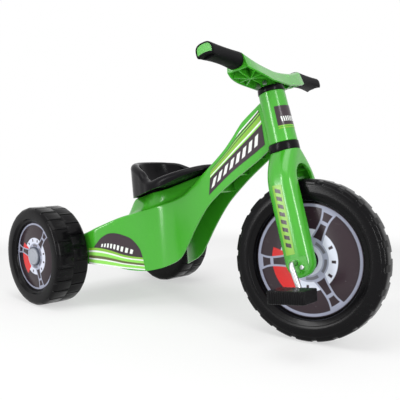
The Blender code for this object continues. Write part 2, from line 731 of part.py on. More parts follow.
def rear_axle_set(steel, plastic_black, root):
    """Axle rod, bushes in the body's sides, washers and the nuts pressed on its ends."""
    place = frame("rear_axle_line", root, Matrix.Translation((0, 0, REAR_AXLE_HEIGHT)))
    web = REAR_OUTER_FACE - REAR_RECESS
    end = web + REAR_DISC_THICK + PUSH_NUT_THICK + 4 * TOUCH_GAP
    piece("rear_axle", rod(AXLE_RADIUS, -end, end), steel, place)
    for side, sign in (("right", -1), ("left", 1)):
        flange_face = WING_HALF_WIDTH + TOUCH_GAP + AXLE_BUSH_FLANGE_THICK
        bush = flanged(AXLE_BUSH_RADIUS, AXLE_BUSH_FLANGE, bore_for(AXLE_RADIUS, TOUCH_GAP),
                       sign * flange_face, sign * (WING_HALF_WIDTH - AXLE_BUSH_LENGTH),
                       AXLE_BUSH_FLANGE_THICK)
        piece(f"rear_{side}_axle_bush", bush, plastic_black, place)
        start = flange_face + TOUCH_GAP
        washer = sleeve(AXLE_WASHER_RADIUS, bore_for(AXLE_RADIUS, TOUCH_GAP), sign * start,
                        sign * (REAR_INNER_FACE - SIDE_PLAY))
        piece(f"rear_{side}_washer", washer, steel, place)
        nut_start = web + REAR_DISC_THICK + 3 * TOUCH_GAP
        nut = sleeve(PUSH_NUT_RADIUS, bore_for(AXLE_RADIUS, TOUCH_GAP), sign * nut_start,
                     sign * (nut_start + PUSH_NUT_THICK))
        piece(f"rear_{side}_push_nut", nut, steel, place)


def fork_half_width(height):
    """Half the fork's width at a height over the axle, legs to crown."""
    if height <= SHOULDER_HEIGHT:
        return LEG_OUTER
    t = (height - SHOULDER_HEIGHT) / (BAND_BOTTOM - TOUCH_GAP - SHOULDER_HEIGHT)
    return CROWN_RADIUS + (LEG_OUTER - CROWN_RADIUS) * (1 - t ** 2.1)


def fork(material, parent):
    """One moulded fork: round-ended legs, shouldered crown, wheel arch and stem socket."""
    top = BAND_BOTTOM - TOUCH_GAP
    half_depth = LEG_DEPTH / 2
    heights = [-half_depth * math.cos(math.radians(a)) for a in (0, 25, 45, 65, 90)]
    heights += [0.060, SHOULDER_HEIGHT]
    heights += [SHOULDER_HEIGHT + (top - SHOULDER_HEIGHT) * t for t in (0.25, 0.45, 0.62, 0.76,
                                                                     0.88, 1.0)]
    rings = []
    for height in heights:
        if height < 0:
            depth = math.sqrt(max(0.0, half_depth ** 2 - height ** 2))
            depth = max(depth, 0.25 * half_depth)
        else:
            depth = half_depth + (CROWN_RADIUS - half_depth) * smooth_step(
                (height - SHOULDER_HEIGHT) / (top - SHOULDER_HEIGHT))
        wide = fork_half_width(height)
        t = smooth_step((height - SHOULDER_HEIGHT) / (top - SHOULDER_HEIGHT))
        corner = min(LEG_CORNER + (0.98 * CROWN_RADIUS - LEG_CORNER) * t, 0.98 * wide,
                     0.98 * depth)
        rings.append([(x, y, height) for x, y in rounded(depth, wide, corner)])
    item = piece("fork", loft(rings), material, parent)

    arch = []
    for x in (-0.06, 0.06):
        outline = [(x, -LEG_INNER, -0.06), (x, LEG_INNER, -0.06)]
        outline += [(x, LEG_INNER * math.cos(math.radians(a)),
                     ARCH_TOP - ARCH_DEPTH + ARCH_DEPTH * math.sin(math.radians(a)))
                    for a in range(0, 181, 20)]
        arch.append(outline)
    tool(item, loft(arch), "DIFFERENCE", name="wheel_arch")
    bush = rod(bore_for(CRANK_BUSH_RADIUS, TOUCH_GAP), -0.1, 0.1)
    tool(item, bush, "DIFFERENCE", name="crank_bore")
    socket = rod(bore_for(STEM_RADIUS, TOUCH_GAP, HEAD_SIDES), top - STEM_IN_FORK, top + 0.02,
                 HEAD_SIDES)
    tool(item, socket, "DIFFERENCE", along_z(), "stem_socket")
    screw = rod(bore_for(STEM_SCREW_RADIUS, TOUCH_GAP, SCREW_SIDES), -0.05, 0.0, SCREW_SIDES)
    tool(item, screw, "DIFFERENCE", stem_screw_place(), "crown_screw_hole")
    well = rod(STEM_SCREW_HEAD + TOOL_ROOM, -0.05, -(CROWN_RADIUS - STEM_SCREW_DEPTH))
    tool(item, well, "DIFFERENCE", stem_screw_place(), "crown_screw_well")
    for side, sign in (("right", -1), ("left", 1)):
        screw = rod(bore_for(CLAMP_SCREW_RADIUS, TOUCH_GAP, SCREW_SIDES),
                    sign * (LEG_OUTER - CLAMP_SCREW_REACH - TOOL_ROOM),
                    sign * (LEG_OUTER + 0.01), SCREW_SIDES)
        place = Matrix.Translation((CLAMP_SCREW_AHEAD, 0, -CLAMP_SCREW_DROP))
        tool(item, screw, "DIFFERENCE", place, f"clamp_screw_hole_{side}")
    return item


def head_bushes(material, root):
    """Black bands below and above the head tube, each with a spigot in its bore."""
    head = frame("head_axis", root, steering_place())
    spigot = HEAD_BORE * math.cos(math.pi / HEAD_SIDES) - TOUCH_GAP
    inner = bore_for(STEM_RADIUS, RUNNING_GAP, HEAD_SIDES)
    low = HEAD_BOTTOM - TOUCH_GAP
    lower = turned(((inner, BAND_BOTTOM), (LOWER_BAND_RADIUS, BAND_BOTTOM),
                    (LOWER_BAND_RADIUS, low), (spigot, low), (spigot, low + BUSH_SPIGOT),
                    (inner, low + BUSH_SPIGOT)), HEAD_SIDES)
    piece("lower_head_bush", lower, material, head, along_z())
    high = HEAD_TOP + TOUCH_GAP
    upper = turned(((inner, high - BUSH_SPIGOT), (spigot, high - BUSH_SPIGOT), (spigot, high),
                    (UPPER_BAND_RADIUS, high), (UPPER_BAND_RADIUS - 0.001, COLLAR_TOP),
                    (inner, COLLAR_TOP)), HEAD_SIDES)
    piece("upper_head_bush", upper, material, head, along_z())


def steering_stem(steel, parent):
    """Steel tube from the fork crown to the handlebar."""
    low = BAND_BOTTOM - STEM_IN_FORK
    tube = sleeve(STEM_RADIUS, STEM_RADIUS - STEM_WALL, low, stem_top(), HEAD_SIDES)
    item = piece("steering_stem", tube, steel, parent, along_z())
    bolt_hole = rod(bore_for(BAR_BOLT_RADIUS, TOUCH_GAP, SCREW_SIDES), -0.02, 0.02, SCREW_SIDES)
    tool(item, bolt_hole, "DIFFERENCE", Matrix.Translation((0, 0, bar_bolt_height())),
         "stem_bolt_hole")
    screw_hole = rod(bore_for(STEM_SCREW_RADIUS, TOUCH_GAP, SCREW_SIDES), -0.02, 0.0, SCREW_SIDES)
    tool(item, screw_hole, "DIFFERENCE", stem_screw_place(), "stem_screw_hole")
    return item


def crank_path():
    """Centre line of the bent crank rod, right pedal pin to left, as (y, z)."""
    tip = pedal_well_floor() + SIDE_PLAY + PEDAL_NUT_THICK + TOOL_ROOM
    corners = [(-tip, -CRANK_THROW), (-CRANK_PLANE, -CRANK_THROW), (-CRANK_PLANE, 0.0),
               (CRANK_PLANE, 0.0), (CRANK_PLANE, CRANK_THROW), (tip, CRANK_THROW)]
    points = [Vector((0, *corners[0]))]
    for k in range(1, len(corners) - 1):
        here = Vector((0, *corners[k]))
        back = (Vector((0, *corners[k - 1])) - here).normalized()
        on = (Vector((0, *corners[k + 1])) - here).normalized()
        for step in range(4):
            t = step / 3
            a = here + back * CRANK_BEND
            b = here + on * CRANK_BEND
            points.append((1 - t) ** 2 * a + 2 * t * (1 - t) * here + t ** 2 * b)
    points.append(Vector((0, *corners[-1])))
    return points


def crank(steel, parent):
    """One bent steel rod: wheel shaft, two arms, two pedal pins and two flat drive lugs."""
    path = crank_path()
    rings = []
    for k, point in enumerate(path):
        ahead = (path[min(k + 1, len(path) - 1)] - path[max(k - 1, 0)]).normalized()
        across = Vector((1, 0, 0)).cross(ahead)
        ring = []
        for n in range(SCREW_SIDES):
            angle = (n + 0.5) * math.tau / SCREW_SIDES
            ring.append(point + CRANK_RADIUS * (math.cos(angle) * Vector((1, 0, 0))
                                                + math.sin(angle) * across))
        rings.append(ring)
    item = piece("crank", loft(rings), steel, parent)
    for side, sign in (("right", -1), ("left", 1)):
        lug = block((2 * DRIVE_LUG_REACH, DRIVE_LUG_DEPTH, DRIVE_LUG_THICK),
                    (0, sign * (drive_hub_outer() - 0.5 * DRIVE_LUG_DEPTH - TOUCH_GAP), 0))
        tool(item, lug, "UNION", name=f"drive_lug_{side}")
    return item


def drive_hub_outer():
    """Outer face of the drive hubs, out from the wheel's middle."""
    return FRONT_WEB_HALF + FRONT_DISC_THICK + 2 * TOUCH_GAP + DRIVE_HUB_THICK


def drive_hubs(material, parent):
    """Hubs that hold the printed discs and key the wheel to the crank's flat lugs."""
    start = FRONT_WEB_HALF + FRONT_DISC_THICK + 2 * TOUCH_GAP
    for side, sign in (("right", -1), ("left", 1)):
        inner = bore_for(CRANK_RADIUS, TOUCH_GAP)
        outline = ((inner, sign * start), (DRIVE_HUB_RADIUS, sign * start),
                   (DRIVE_HUB_RADIUS, sign * (start + 0.5 * DRIVE_HUB_THICK)),
                   (DRIVE_HUB_RADIUS - 0.0030, sign * drive_hub_outer()),
                   (inner, sign * drive_hub_outer()))
        hub = piece(f"front_{side}_drive_hub", turned(outline, ROUND_SIDES), material, parent)
        slot = block((2 * (DRIVE_LUG_REACH + TOUCH_GAP), 2 * (DRIVE_LUG_DEPTH + TOOL_ROOM),
                      DRIVE_LUG_THICK + 2 * TOUCH_GAP), (0, sign * drive_hub_outer(), 0))
        tool(hub, slot, "DIFFERENCE", name=f"drive_slot_{side}")


def crank_bearings(black, green, steel, parent):
    """A bush in each fork end, a clamp plate over it and the plate's screw."""
    for side, sign in (("right", -1), ("left", 1)):
        inner = bore_for(CRANK_RADIUS)
        face = LEG_INNER - TOUCH_GAP - CRANK_BUSH_FLANGE_THICK
        bush = flanged(CRANK_BUSH_RADIUS, CRANK_BUSH_FLANGE, inner, sign * face,
                       sign * LEG_OUTER, CRANK_BUSH_FLANGE_THICK)
        piece(f"{side}_crank_bush", bush, black, parent)

        near = LEG_OUTER + TOUCH_GAP
        outline = rounded(CLAMP_WIDTH / 2, CLAMP_HEIGHT / 2, CLAMP_CORNER, 2)
        rings = [[(x + CLAMP_AHEAD, sign * y, z - CLAMP_DROP)
                  for x, z in outline] for y in (near, near + CLAMP_THICK)]
        plate = piece(f"{side}_axle_clamp", loft(rings), green, parent)
        tool(plate, rod(inner, -0.1, 0.1), "DIFFERENCE", name=f"{side}_clamp_bore")
        spot = Matrix.Translation((CLAMP_SCREW_AHEAD, 0, -CLAMP_SCREW_DROP))
        hole = rod(bore_for(CLAMP_SCREW_RADIUS, TOUCH_GAP, SCREW_SIDES), -0.1, 0.1, SCREW_SIDES)
        tool(plate, hole, "DIFFERENCE", spot, f"{side}_clamp_hole")

        seat_face = near + CLAMP_THICK + TOUCH_GAP
        outline = ((CLAMP_SCREW_RADIUS, LEG_OUTER - CLAMP_SCREW_REACH),
                   (CLAMP_SCREW_RADIUS, seat_face), (CLAMP_SCREW_HEAD, seat_face),
                   (0.85 * CLAMP_SCREW_HEAD, seat_face + SCREW_HEAD_THICK))
        placed = [(r, sign * y) for r, y in outline]
        piece(f"{side}_clamp_screw", pin(placed, SCREW_SIDES), steel, parent, spot)


def pedal_inner_face():
    """Where a pedal starts, out from the middle."""
    return CRANK_PLANE + CRANK_RADIUS + PEDAL_OFFSET


def pedal_well_floor():
    """Bottom of the well in a pedal's outer end, out from the middle."""
    return pedal_inner_face() + PEDAL_WIDTH - PEDAL_WELL_DEPTH


def pedal(side, sign, rubber, steel, pin_frame, crank_frame):
    """A moulded pedal on its pin; the push nut sits in a well that a cap closes."""
    near = pedal_inner_face()
    far = near + PEDAL_WIDTH
    outline = rounded(PEDAL_LENGTH / 2, PEDAL_THICK / 2, PEDAL_CORNER, 2)
    slim = rounded(PEDAL_LENGTH / 2 - PEDAL_EDGE, PEDAL_THICK / 2 - PEDAL_EDGE,
                   PEDAL_CORNER - PEDAL_EDGE, 2)
    rings = []
    for y, shape in ((near, slim), (near + PEDAL_EDGE, outline), (far - PEDAL_EDGE, outline),
                     (far, slim)):
        rings.append([(x, sign * y, z) for x, z in shape])
    place = Matrix.Rotation(HEAD_TILT - PEDAL_NOSE_UP, 4, "Y")
    body = piece(f"{side}_pedal", loft(rings), rubber, pin_frame, place)
    bore = rod(bore_for(CRANK_RADIUS, RUNNING_GAP, SCREW_SIDES), -0.3, 0.3, SCREW_SIDES)
    tool(body, bore, "DIFFERENCE", name=f"{side}_pedal_bore")
    floor = pedal_well_floor()
    tool(body, rod(PEDAL_WELL_RADIUS, sign * floor, sign * (far + 0.01)), "DIFFERENCE",
         name=f"{side}_pedal_well")
    cap_end = far - PEDAL_CAP_SUNK
    cap = rod(PEDAL_WELL_RADIUS - TOUCH_GAP, sign * (cap_end - PEDAL_CAP_THICK), sign * cap_end)
    piece(f"{side}_pedal_cap", cap, rubber, pin_frame, place)

    at_pin = Matrix.Translation((0, 0, sign * CRANK_THROW))
    start = floor + SIDE_PLAY
    nut = sleeve(PEDAL_NUT_RADIUS, bore_for(CRANK_RADIUS, TOUCH_GAP, SCREW_SIDES),
                 sign * start, sign * (start + PEDAL_NUT_THICK), SCREW_SIDES)
    piece(f"{side}_pedal_nut", nut, steel, crank_frame, at_pin)


def bar_rise(y):
    """0 in the bar's low middle, rising towards 1 in the grips."""
    return smooth_step((abs(y) - BAR_FLAT) / BAR_SWEEP)


def bar_middle(y):
    """Height of the handlebar's middle line at a place across it."""
    return BAR_HEIGHT - BAR_DIP * (1 - bar_rise(y))


def bar_half_height(y):
    """Half the bar's thickness at a place across it."""
    return BAR_MIDDLE_HALF_HEIGHT + (GRIP_HALF_HEIGHT - BAR_MIDDLE_HALF_HEIGHT) * bar_rise(y)


def bar_section(y, inset=0.0, open_below=False):
    """The bar's rounded section across X, at a place along Y."""
    t = smooth_step((abs(y) - 0.5 * GRIP_INNER_END) / (0.6 * GRIP_INNER_END))
    half = BAR_MIDDLE_HALF_DEPTH + (GRIP_HALF_DEPTH - BAR_MIDDLE_HALF_DEPTH) * t - inset
    tall = bar_half_height(y) - inset
    corner = 0.85 * tall
    middle = bar_middle(y)
    points = rounded(half, tall, corner, 2)
    if open_below:
        points = [(x, z if z > 0 else z - 0.020) for x, z in points]
    return [(x, y, middle + z) for x, z in points]


def handlebar(material, parent):
    """Gull-wing bar moulded as a tray open below, with star ribs, stem boss and grip cores."""
    end = GRIP_INNER_END
    across = [-end, -0.85 * end, -0.68 * end, -0.5 * end, -0.32 * end, -0.15 * end, 0.0]
    across += [-y for y in reversed(across[:-1])]
    item = piece("handlebar", loft([bar_section(y) for y in across]), material, parent)
    inside = [y for y in across if abs(y) < 0.9 * end]
    tray = tool(item, loft([bar_section(y, BAR_WALL, True) for y in inside]), "DIFFERENCE",
                name="bar_tray")

    for side, sign in (("right", -1), ("left", 1)):
        for number, angle in enumerate(BAR_RIB_ANGLES):
            rib = block((BAR_RIB_LENGTH, BAR_RIB, 4 * GRIP_HALF_HEIGHT))
            spot = Matrix.Translation((0, sign * BAR_STAR, BAR_HEIGHT))
            turn = Matrix.Rotation(sign * math.radians(angle), 4, "Z")
            tool(tray, rib, "DIFFERENCE", spot @ turn, f"bar_rib_{side}_{number}")
        rings = [[(x, sign * y, z) for x, z in grip_outline(y, GRIP_WALL + TOUCH_GAP)]
                 for y in (end - 0.004, 0.5 * (end + GRIP_OUTER_END), GRIP_OUTER_END - GRIP_RECESS)]
        tool(item, loft(rings), "UNION", name=f"grip_core_{side}")

    floor = COLLAR_TOP + TOUCH_GAP
    roof = bar_middle(0.0) + bar_half_height(0.0)
    boss = rod(BAR_BOSS_RADIUS, floor, roof - 0.5 * BAR_WALL, HEAD_SIDES)
    tool(item, boss, "UNION", along_z(), "stem_boss")
    socket = rod(bore_for(STEM_RADIUS, TOUCH_GAP, HEAD_SIDES), floor - 0.01,
                 stem_top() + TOUCH_GAP, HEAD_SIDES)
    tool(item, socket, "DIFFERENCE", along_z(), "bar_socket")
    across_boss = rod(bore_for(BAR_BOLT_RADIUS, TOUCH_GAP, SCREW_SIDES), -0.022, 0.022,
                      SCREW_SIDES)
    tool(item, across_boss, "DIFFERENCE", Matrix.Translation((0, 0, bar_bolt_height())),
         "bar_bolt_hole")
    return item


def stem_top():
    """Top end of the steering stem, inside the handlebar's boss."""
    return COLLAR_TOP + TOUCH_GAP + STEM_IN_BAR


def bar_bolt_height():
    """Height of the bolt that holds the handlebar to the stem."""
    return stem_top() - 0.5 * STEM_IN_BAR


def handlebar_bolt(steel, parent):
    """The bolt across the handlebar's boss and the stem, with its nut."""
    place = Matrix.Translation((0, 0, bar_bolt_height()))
    face = BAR_BOSS_RADIUS + TOUCH_GAP
    nut_end = face + BAR_NUT_THICK
    outline = ((BAR_BOLT_HEAD, -face - SCREW_HEAD_THICK), (BAR_BOLT_HEAD, -face),
               (BAR_BOLT_RADIUS, -face), (BAR_BOLT_RADIUS, nut_end + TOOL_ROOM))
    piece("handlebar_bolt", pin(outline, SCREW_SIDES), steel, parent, place)
    nut = sleeve(BAR_BOLT_HEAD, bore_for(BAR_BOLT_RADIUS, TOUCH_GAP, NUT_SIDES), face, nut_end,
                 NUT_SIDES)
    piece("handlebar_nut", nut, steel, parent, place)


def stem_screw_place():
    """Places the screw that holds the stem in the fork: straight ahead through the crown."""
    return (Matrix.Translation((0, 0, BAND_BOTTOM - 0.5 * STEM_IN_FORK))
            @ Matrix.Rotation(-math.pi / 2, 4, "Z"))


def stem_screw(steel, parent):
    """A screw from the back of the fork crown into the stem, its head sunk in the crown."""
    seat_at = -(CROWN_RADIUS - STEM_SCREW_DEPTH) - TOUCH_GAP
    outline = ((STEM_SCREW_HEAD, seat_at - SCREW_HEAD_THICK), (STEM_SCREW_HEAD, seat_at),
               (STEM_SCREW_RADIUS, seat_at), (STEM_SCREW_RADIUS, seat_at + STEM_SCREW_REACH))
    return piece("stem_screw", pin(outline, SCREW_SIDES), steel, parent, stem_screw_place())


def grip_outline(y, inset=0.0):
    """The grip's outline in (x, z) at a distance out from the middle; it is waisted halfway."""
    along = (y - GRIP_INNER_END) / (GRIP_OUTER_END - GRIP_INNER_END)
    waist = GRIP_WAIST * math.sin(math.pi * min(1.0, max(0.0, along)))
    half = GRIP_HALF_DEPTH - 0.5 * waist - inset
    tall = GRIP_HALF_HEIGHT - waist - inset
    corner = 0.85 * min(half, tall)
    return [(x, BAR_HEIGHT + 0.6 * waist + z) for x, z in rounded(half, tall, corner)]


def grip(side, sign, rubber, parent):
    """A black waisted sleeve on the bar's end, open at its outer end."""
    near = GRIP_INNER_END + TOUCH_GAP
    middle = 0.5 * (GRIP_INNER_END + GRIP_OUTER_END)
    stations = [(near, 0.0), (middle, 0.0), (GRIP_OUTER_END - 0.003, 0.0),
                (GRIP_OUTER_END, 0.0010), (GRIP_OUTER_END, GRIP_WALL)]
    stations += [(middle, GRIP_WALL), (near, GRIP_WALL)]
    rings = [[(x, sign * y, z) for x, z in grip_outline(y, inset)] for y, inset in stations]
    bm = bmesh.new()
    skin(bm, rings, along=True)
    piece(f"{side}_grip", bm, rubber, parent)


def build():
    """Make the whole trike."""
    clear_scene()
    green = plastic("green_plastic", (0.085, 0.47, 0.045), 0.32)
    black = plastic("black_plastic", (0.013, 0.013, 0.015), 0.42)
    seat_black = plastic("seat_black", (0.016, 0.016, 0.018), 0.25)
    tyre = plastic("tyre_black", (0.011, 0.011, 0.012), 0.38)
    grip_black = plastic("grip_black", (0.012, 0.012, 0.014), 0.62)
    steel = plastic("zinc_steel", (0.62, 0.63, 0.65), 0.33, 1.0)
    print_grey = plastic("printed_disc", (0.30, 0.29, 0.33), 0.35)
    cap_grey = plastic("hub_cap_grey", (0.33, 0.35, 0.40), 0.40)

    root = frame("trike_origin")
    body_shell(green, root)
    seat_frame = frame("seat_frame", root, seat_place())
    seat(seat_black, seat_frame)
    seat_fasteners(steel, seat_frame)
    rear_axle_set(steel, black, root)
    head_bushes(black, root)

    place = Matrix.Translation((WHEELBASE, 0, FRONT_AXLE_HEIGHT)) @ STEERING_TURN
    steering = frame("steering_axis", root, place)
    fork(green, steering)
    steering_stem(steel, steering)
    stem_screw(steel, steering)
    handlebar(green, steering)
    handlebar_bolt(steel, steering)
    crank_bearings(black, green, steel, steering)
    for side, sign in (("right", -1), ("left", 1)):
        grip(side, sign, grip_black, steering)

    crank_frame = frame("crank_axis", steering, Matrix.Rotation(CRANK_ANGLE, 4, "Y"))
    front_wheel(tyre, crank_frame)
    crank(steel, crank_frame)
    drive_hubs(black, crank_frame)
    for side, sign in (("right", -1), ("left", 1)):
        printed_disc(f"front_{side}_disc", FRONT_DISC_RADIUS, FRONT_DISC_BORE, FRONT_WEB_HALF,
                     FRONT_DISC_THICK, sign, FRONT_DISC_SIDES, print_grey, crank_frame)
        upright = Matrix.Rotation(-CRANK_ANGLE, 4, "Y")
        pin_frame = frame(f"{side}_pedal_pin", crank_frame,
                          Matrix.Translation((0, 0, sign * CRANK_THROW)) @ upright)
        pedal(side, sign, black, steel, pin_frame, crank_frame)

    for side, sign in (("right", -1), ("left", 1)):
        wheel_frame = frame(f"rear_{side}_wheel_axis", root,
                            Matrix.Translation((0, 0, REAR_AXLE_HEIGHT)))
        rear_wheel(side, sign, tyre, wheel_frame)
        printed_disc(f"rear_{side}_disc", REAR_DISC_RADIUS, REAR_DISC_BORE,
                     REAR_OUTER_FACE - REAR_RECESS, REAR_DISC_THICK, sign, REAR_DISC_SIDES,
                     print_grey, wheel_frame)
        hub_cap(side, sign, cap_grey, wheel_frame)

    bpy.context.view_layer.update()
    wheel = bpy.data.objects["front_wheel"]
    front = max((wheel.matrix_world @ v.co).x for v in wheel.data.vertices)
    other = bpy.data.objects["rear_left_wheel"]
    rear = min((other.matrix_world @ v.co).x for v in other.data.vertices)
    root.location.x = -0.5 * (front + rear)
    bpy.context.view_layer.update()


build()
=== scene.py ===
"""Dressed scene of a kids' pedal tricycle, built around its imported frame.

Metres, +X to the front, +Y to the rider's left, +Z up. Most sizes repeat the part's source, and
the finer ones follow the photograph. Each surface is a grid of points worked out with numpy in a
frame of its own: the body's, whose x starts at the rear axle, the head tube's and the steering's,
whose z is the head axis, the crank's, the pedals', the seat's and the rear axle's.
"""

import math

import bpy
import numpy as np
from mathutils import Matrix, Vector


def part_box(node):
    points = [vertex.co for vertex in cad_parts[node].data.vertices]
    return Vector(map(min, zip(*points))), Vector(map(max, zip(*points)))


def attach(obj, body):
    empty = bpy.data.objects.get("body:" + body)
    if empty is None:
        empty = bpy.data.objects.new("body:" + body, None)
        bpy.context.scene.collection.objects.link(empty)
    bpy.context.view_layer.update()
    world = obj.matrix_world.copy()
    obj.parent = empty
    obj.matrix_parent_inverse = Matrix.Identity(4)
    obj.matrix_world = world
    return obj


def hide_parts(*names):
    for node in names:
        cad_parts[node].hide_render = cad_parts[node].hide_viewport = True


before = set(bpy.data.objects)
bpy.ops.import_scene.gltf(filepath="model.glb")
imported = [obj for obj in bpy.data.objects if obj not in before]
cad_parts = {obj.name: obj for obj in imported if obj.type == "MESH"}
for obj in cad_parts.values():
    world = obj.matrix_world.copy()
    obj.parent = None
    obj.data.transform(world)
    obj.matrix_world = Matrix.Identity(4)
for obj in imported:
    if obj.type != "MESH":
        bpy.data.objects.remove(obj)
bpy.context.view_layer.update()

# Main sizes, as in the part's source
WHEELBASE = 0.592
FRONT_AXLE_HEIGHT = 0.149966
REAR_AXLE_HEIGHT = 0.110963
HEAD_TILT = math.radians(16.8)
STEER_AT_REST = math.radians(10.7)
STEP_GAP = 0.0003

# Head tube and its black bands
HEAD_BOTTOM = 0.2230
HEAD_TOP = 0.3226
HEAD_RADIUS_BOTTOM = 0.0280
HEAD_RADIUS_TOP = 0.0252
HEAD_BORE = 0.0195
LOWER_BAND = 0.0165
LOWER_BAND_RADIUS = 0.0290
UPPER_BAND = 0.0115
UPPER_BAND_RADIUS = 0.0262
STEM_RADIUS = 0.0128
HEAD_MIDDLE = (HEAD_BOTTOM + HEAD_TOP) / 2
HEAD_X = WHEELBASE - HEAD_MIDDLE * math.sin(HEAD_TILT)
HEAD_Z = FRONT_AXLE_HEIGHT + HEAD_MIDDLE * math.cos(HEAD_TILT)
BAND_BOTTOM = HEAD_BOTTOM - LOWER_BAND
COLLAR_TOP = HEAD_TOP + UPPER_BAND

# Body
BODY_WALL = 0.0035
WING_HALF_WIDTH = 0.1442
BEAM_HALF_WIDTH = 0.0330
BEAM_HEAD_HALF_WIDTH = 0.0170
BEAM_TAPER_START = 0.64
BEAM_TAPER_SPAN = 0.30
BEAM_END_START = 0.90
TOP_CORNER = 0.0080
DECK_CROWN = 0.0020
BODY_REAR = -0.036
REAR_EDGE = 0.0025
PEDESTAL_HALF_WIDTH = 0.0450
PEDESTAL_REAR = 0.1480
PEDESTAL_RAMP = 0.0440
PEDESTAL_FLARE = 0.0180
PEDESTAL_MARGIN = 0.0015
PEDESTAL_DRAFT = 0.0015
PEDESTAL_FOOT_ROOM = 0.0010
PEDESTAL_FOOT_RADIUS = 0.0170
PEDESTAL_TOP_RADIUS = 0.0040
RIB_THICK = 0.0030
RIB_RECESS = 0.0080
RIB_STATIONS = (0.71, 0.80, 0.89)
BEAM_END_RADIUS = 0.0245
BAND_CUT_RADIUS = 0.0312
WALL_ROWS = 16
# Heights over the line from rear axle to head tube, at shares of the way along it
TOP_EDGE = (
    (-0.08, 0.036), (0.03, 0.024), (0.214, 0.001), (0.33, -0.003), (0.43, -0.009), (0.50, -0.017),
    (0.555, -0.0205), (0.60, -0.0165), (0.655, -0.0105), (0.70, -0.005), (0.775, 0.007),
    (0.82, 0.0185), (0.875, 0.0335), (0.93, 0.0385), (1.0, 0.0425),
)
BOTTOM_EDGE = (
    (-0.08, -0.008), (0.0, -0.022), (0.05, -0.038), (0.206, -0.076), (0.263, -0.093),
    (0.31, -0.112), (0.345, -0.129), (0.382, -0.141), (0.43, -0.146), (0.476, -0.147),
    (0.505, -0.1435), (0.534, -0.1315), (0.589, -0.105), (0.647, -0.0825), (0.68, -0.0735),
    (0.728, -0.066), (0.80, -0.0585), (0.87, -0.054), (1.0, -0.046),
)
# How far the body's width has spread from the beam's, 0, to the wings', 1, at the same shares
FLARE = (
    (-0.08, 1.0), (0.16, 1.0), (0.21, 0.985), (0.258, 0.88), (0.315, 0.69), (0.348, 0.48),
    (0.388, 0.22), (0.42, 0.085), (0.455, 0.03), (0.50, 0.006), (0.56, 0.0), (1.0, 0.0),
)
AXLE_BOSS_RADIUS = 0.0130
AXLE_BOSS_BORE = 0.0089
AXLE_BOSS_LENGTH = 0.020

# Seat
SEAT_TILT = math.radians(17.9)
SEAT_BACK = 0.158
SEAT_BASE_HEIGHT = 0.2450
SEAT_CENTRE = 0.105
SEAT_SHELL = 0.0040
SEAT_LIP = 0.0055
SEAT_LIP_DROP = 0.0062
SEAT_SKIRT_LEAN = 0.16
SEAT_ROLL_REACH = 0.0105
SEAT_ROLL_RISE = 0.0122
SEAT_ROLL_LIFT = 0.0010
SEAT_BACK_BULGE = 0.0022
SEAT_EDGE_ROOM = 0.0010
SEAT_BACK_START = 0.016
SEAT_BACK_FADE = 0.030
SEAT_BOWL_POWER = 6.0
SEAT_COLUMNS = 288
# Left half of the rim as (x, y, z) from front to back, and the skirt's lower edge as (x, z)
SEAT_RIM = (
    (0.2020, 0.000, 0.0152), (0.1990, 0.024, 0.0152), (0.1880, 0.043, 0.0150),
    (0.1730, 0.058, 0.0145), (0.1500, 0.073, 0.0140), (0.1240, 0.086, 0.0120),
    (0.0960, 0.091, 0.0110), (0.0780, 0.088, 0.0220), (0.0620, 0.084, 0.0420),
    (0.0320, 0.073, 0.0640), (0.0080, 0.050, 0.0745), (-0.0040, 0.025, 0.0790),
    (-0.0070, 0.000, 0.0800),
)
SEAT_SKIRT_EDGE = (
    (-0.007, 0.0012), (0.000, 0.0010), (0.012, -0.0020), (0.080, -0.0085), (0.125, -0.0080),
    (0.160, -0.0010), (0.190, 0.0040), (0.202, 0.0070),
)

# Fork
LEG_OUTER = 0.0600
LEG_INNER = 0.0335
LEG_DEPTH = 0.0565
LEG_CORNER = 0.0200
LEG_TOE = 0.0090
ARCH_TOP = 0.1770
ARCH_DEPTH = 0.030
ARCH_EDGE = 0.0020
ARCH_HOLLOW = 0.0110
ARCH_RIB_STEP = 9
ARCH_HOLLOW_START = 0.125
ARCH_HOLLOW_FADE = 0.025
FORK_ROUNDNESS = 0.98
CROWN_RADIUS = 0.0288
SHOULDER_HEIGHT = 0.135
FORK_TOP = BAND_BOTTOM - STEP_GAP

# Handlebar and grips
BAR_END = 0.1150
BAR_WALL = 0.0030
BAR_MIDDLE = 0.3682
BAR_TOP = 0.3613
BAR_BOSS_RADIUS = 0.0175
BAR_STAR = 0.0720
BAR_RIB_REACH = 0.0390
BAR_RIB_SIDE_REACH = 0.0225
BAR_RIB_ANGLES = (0, 45, 90, 135)
BAR_RIB = 0.0020
GRIP_OUTER_END = 0.2150
GRIP_HALF_DEPTH = 0.0172
GRIP_HALF_HEIGHT = 0.0148
GRIP_WAIST = 0.0026
GRIP_CORE_INSET = 0.0024
GRIP_SOLE = 0.24
GRIP_CUT = 0.54
GRIP_RECESS = 0.0140
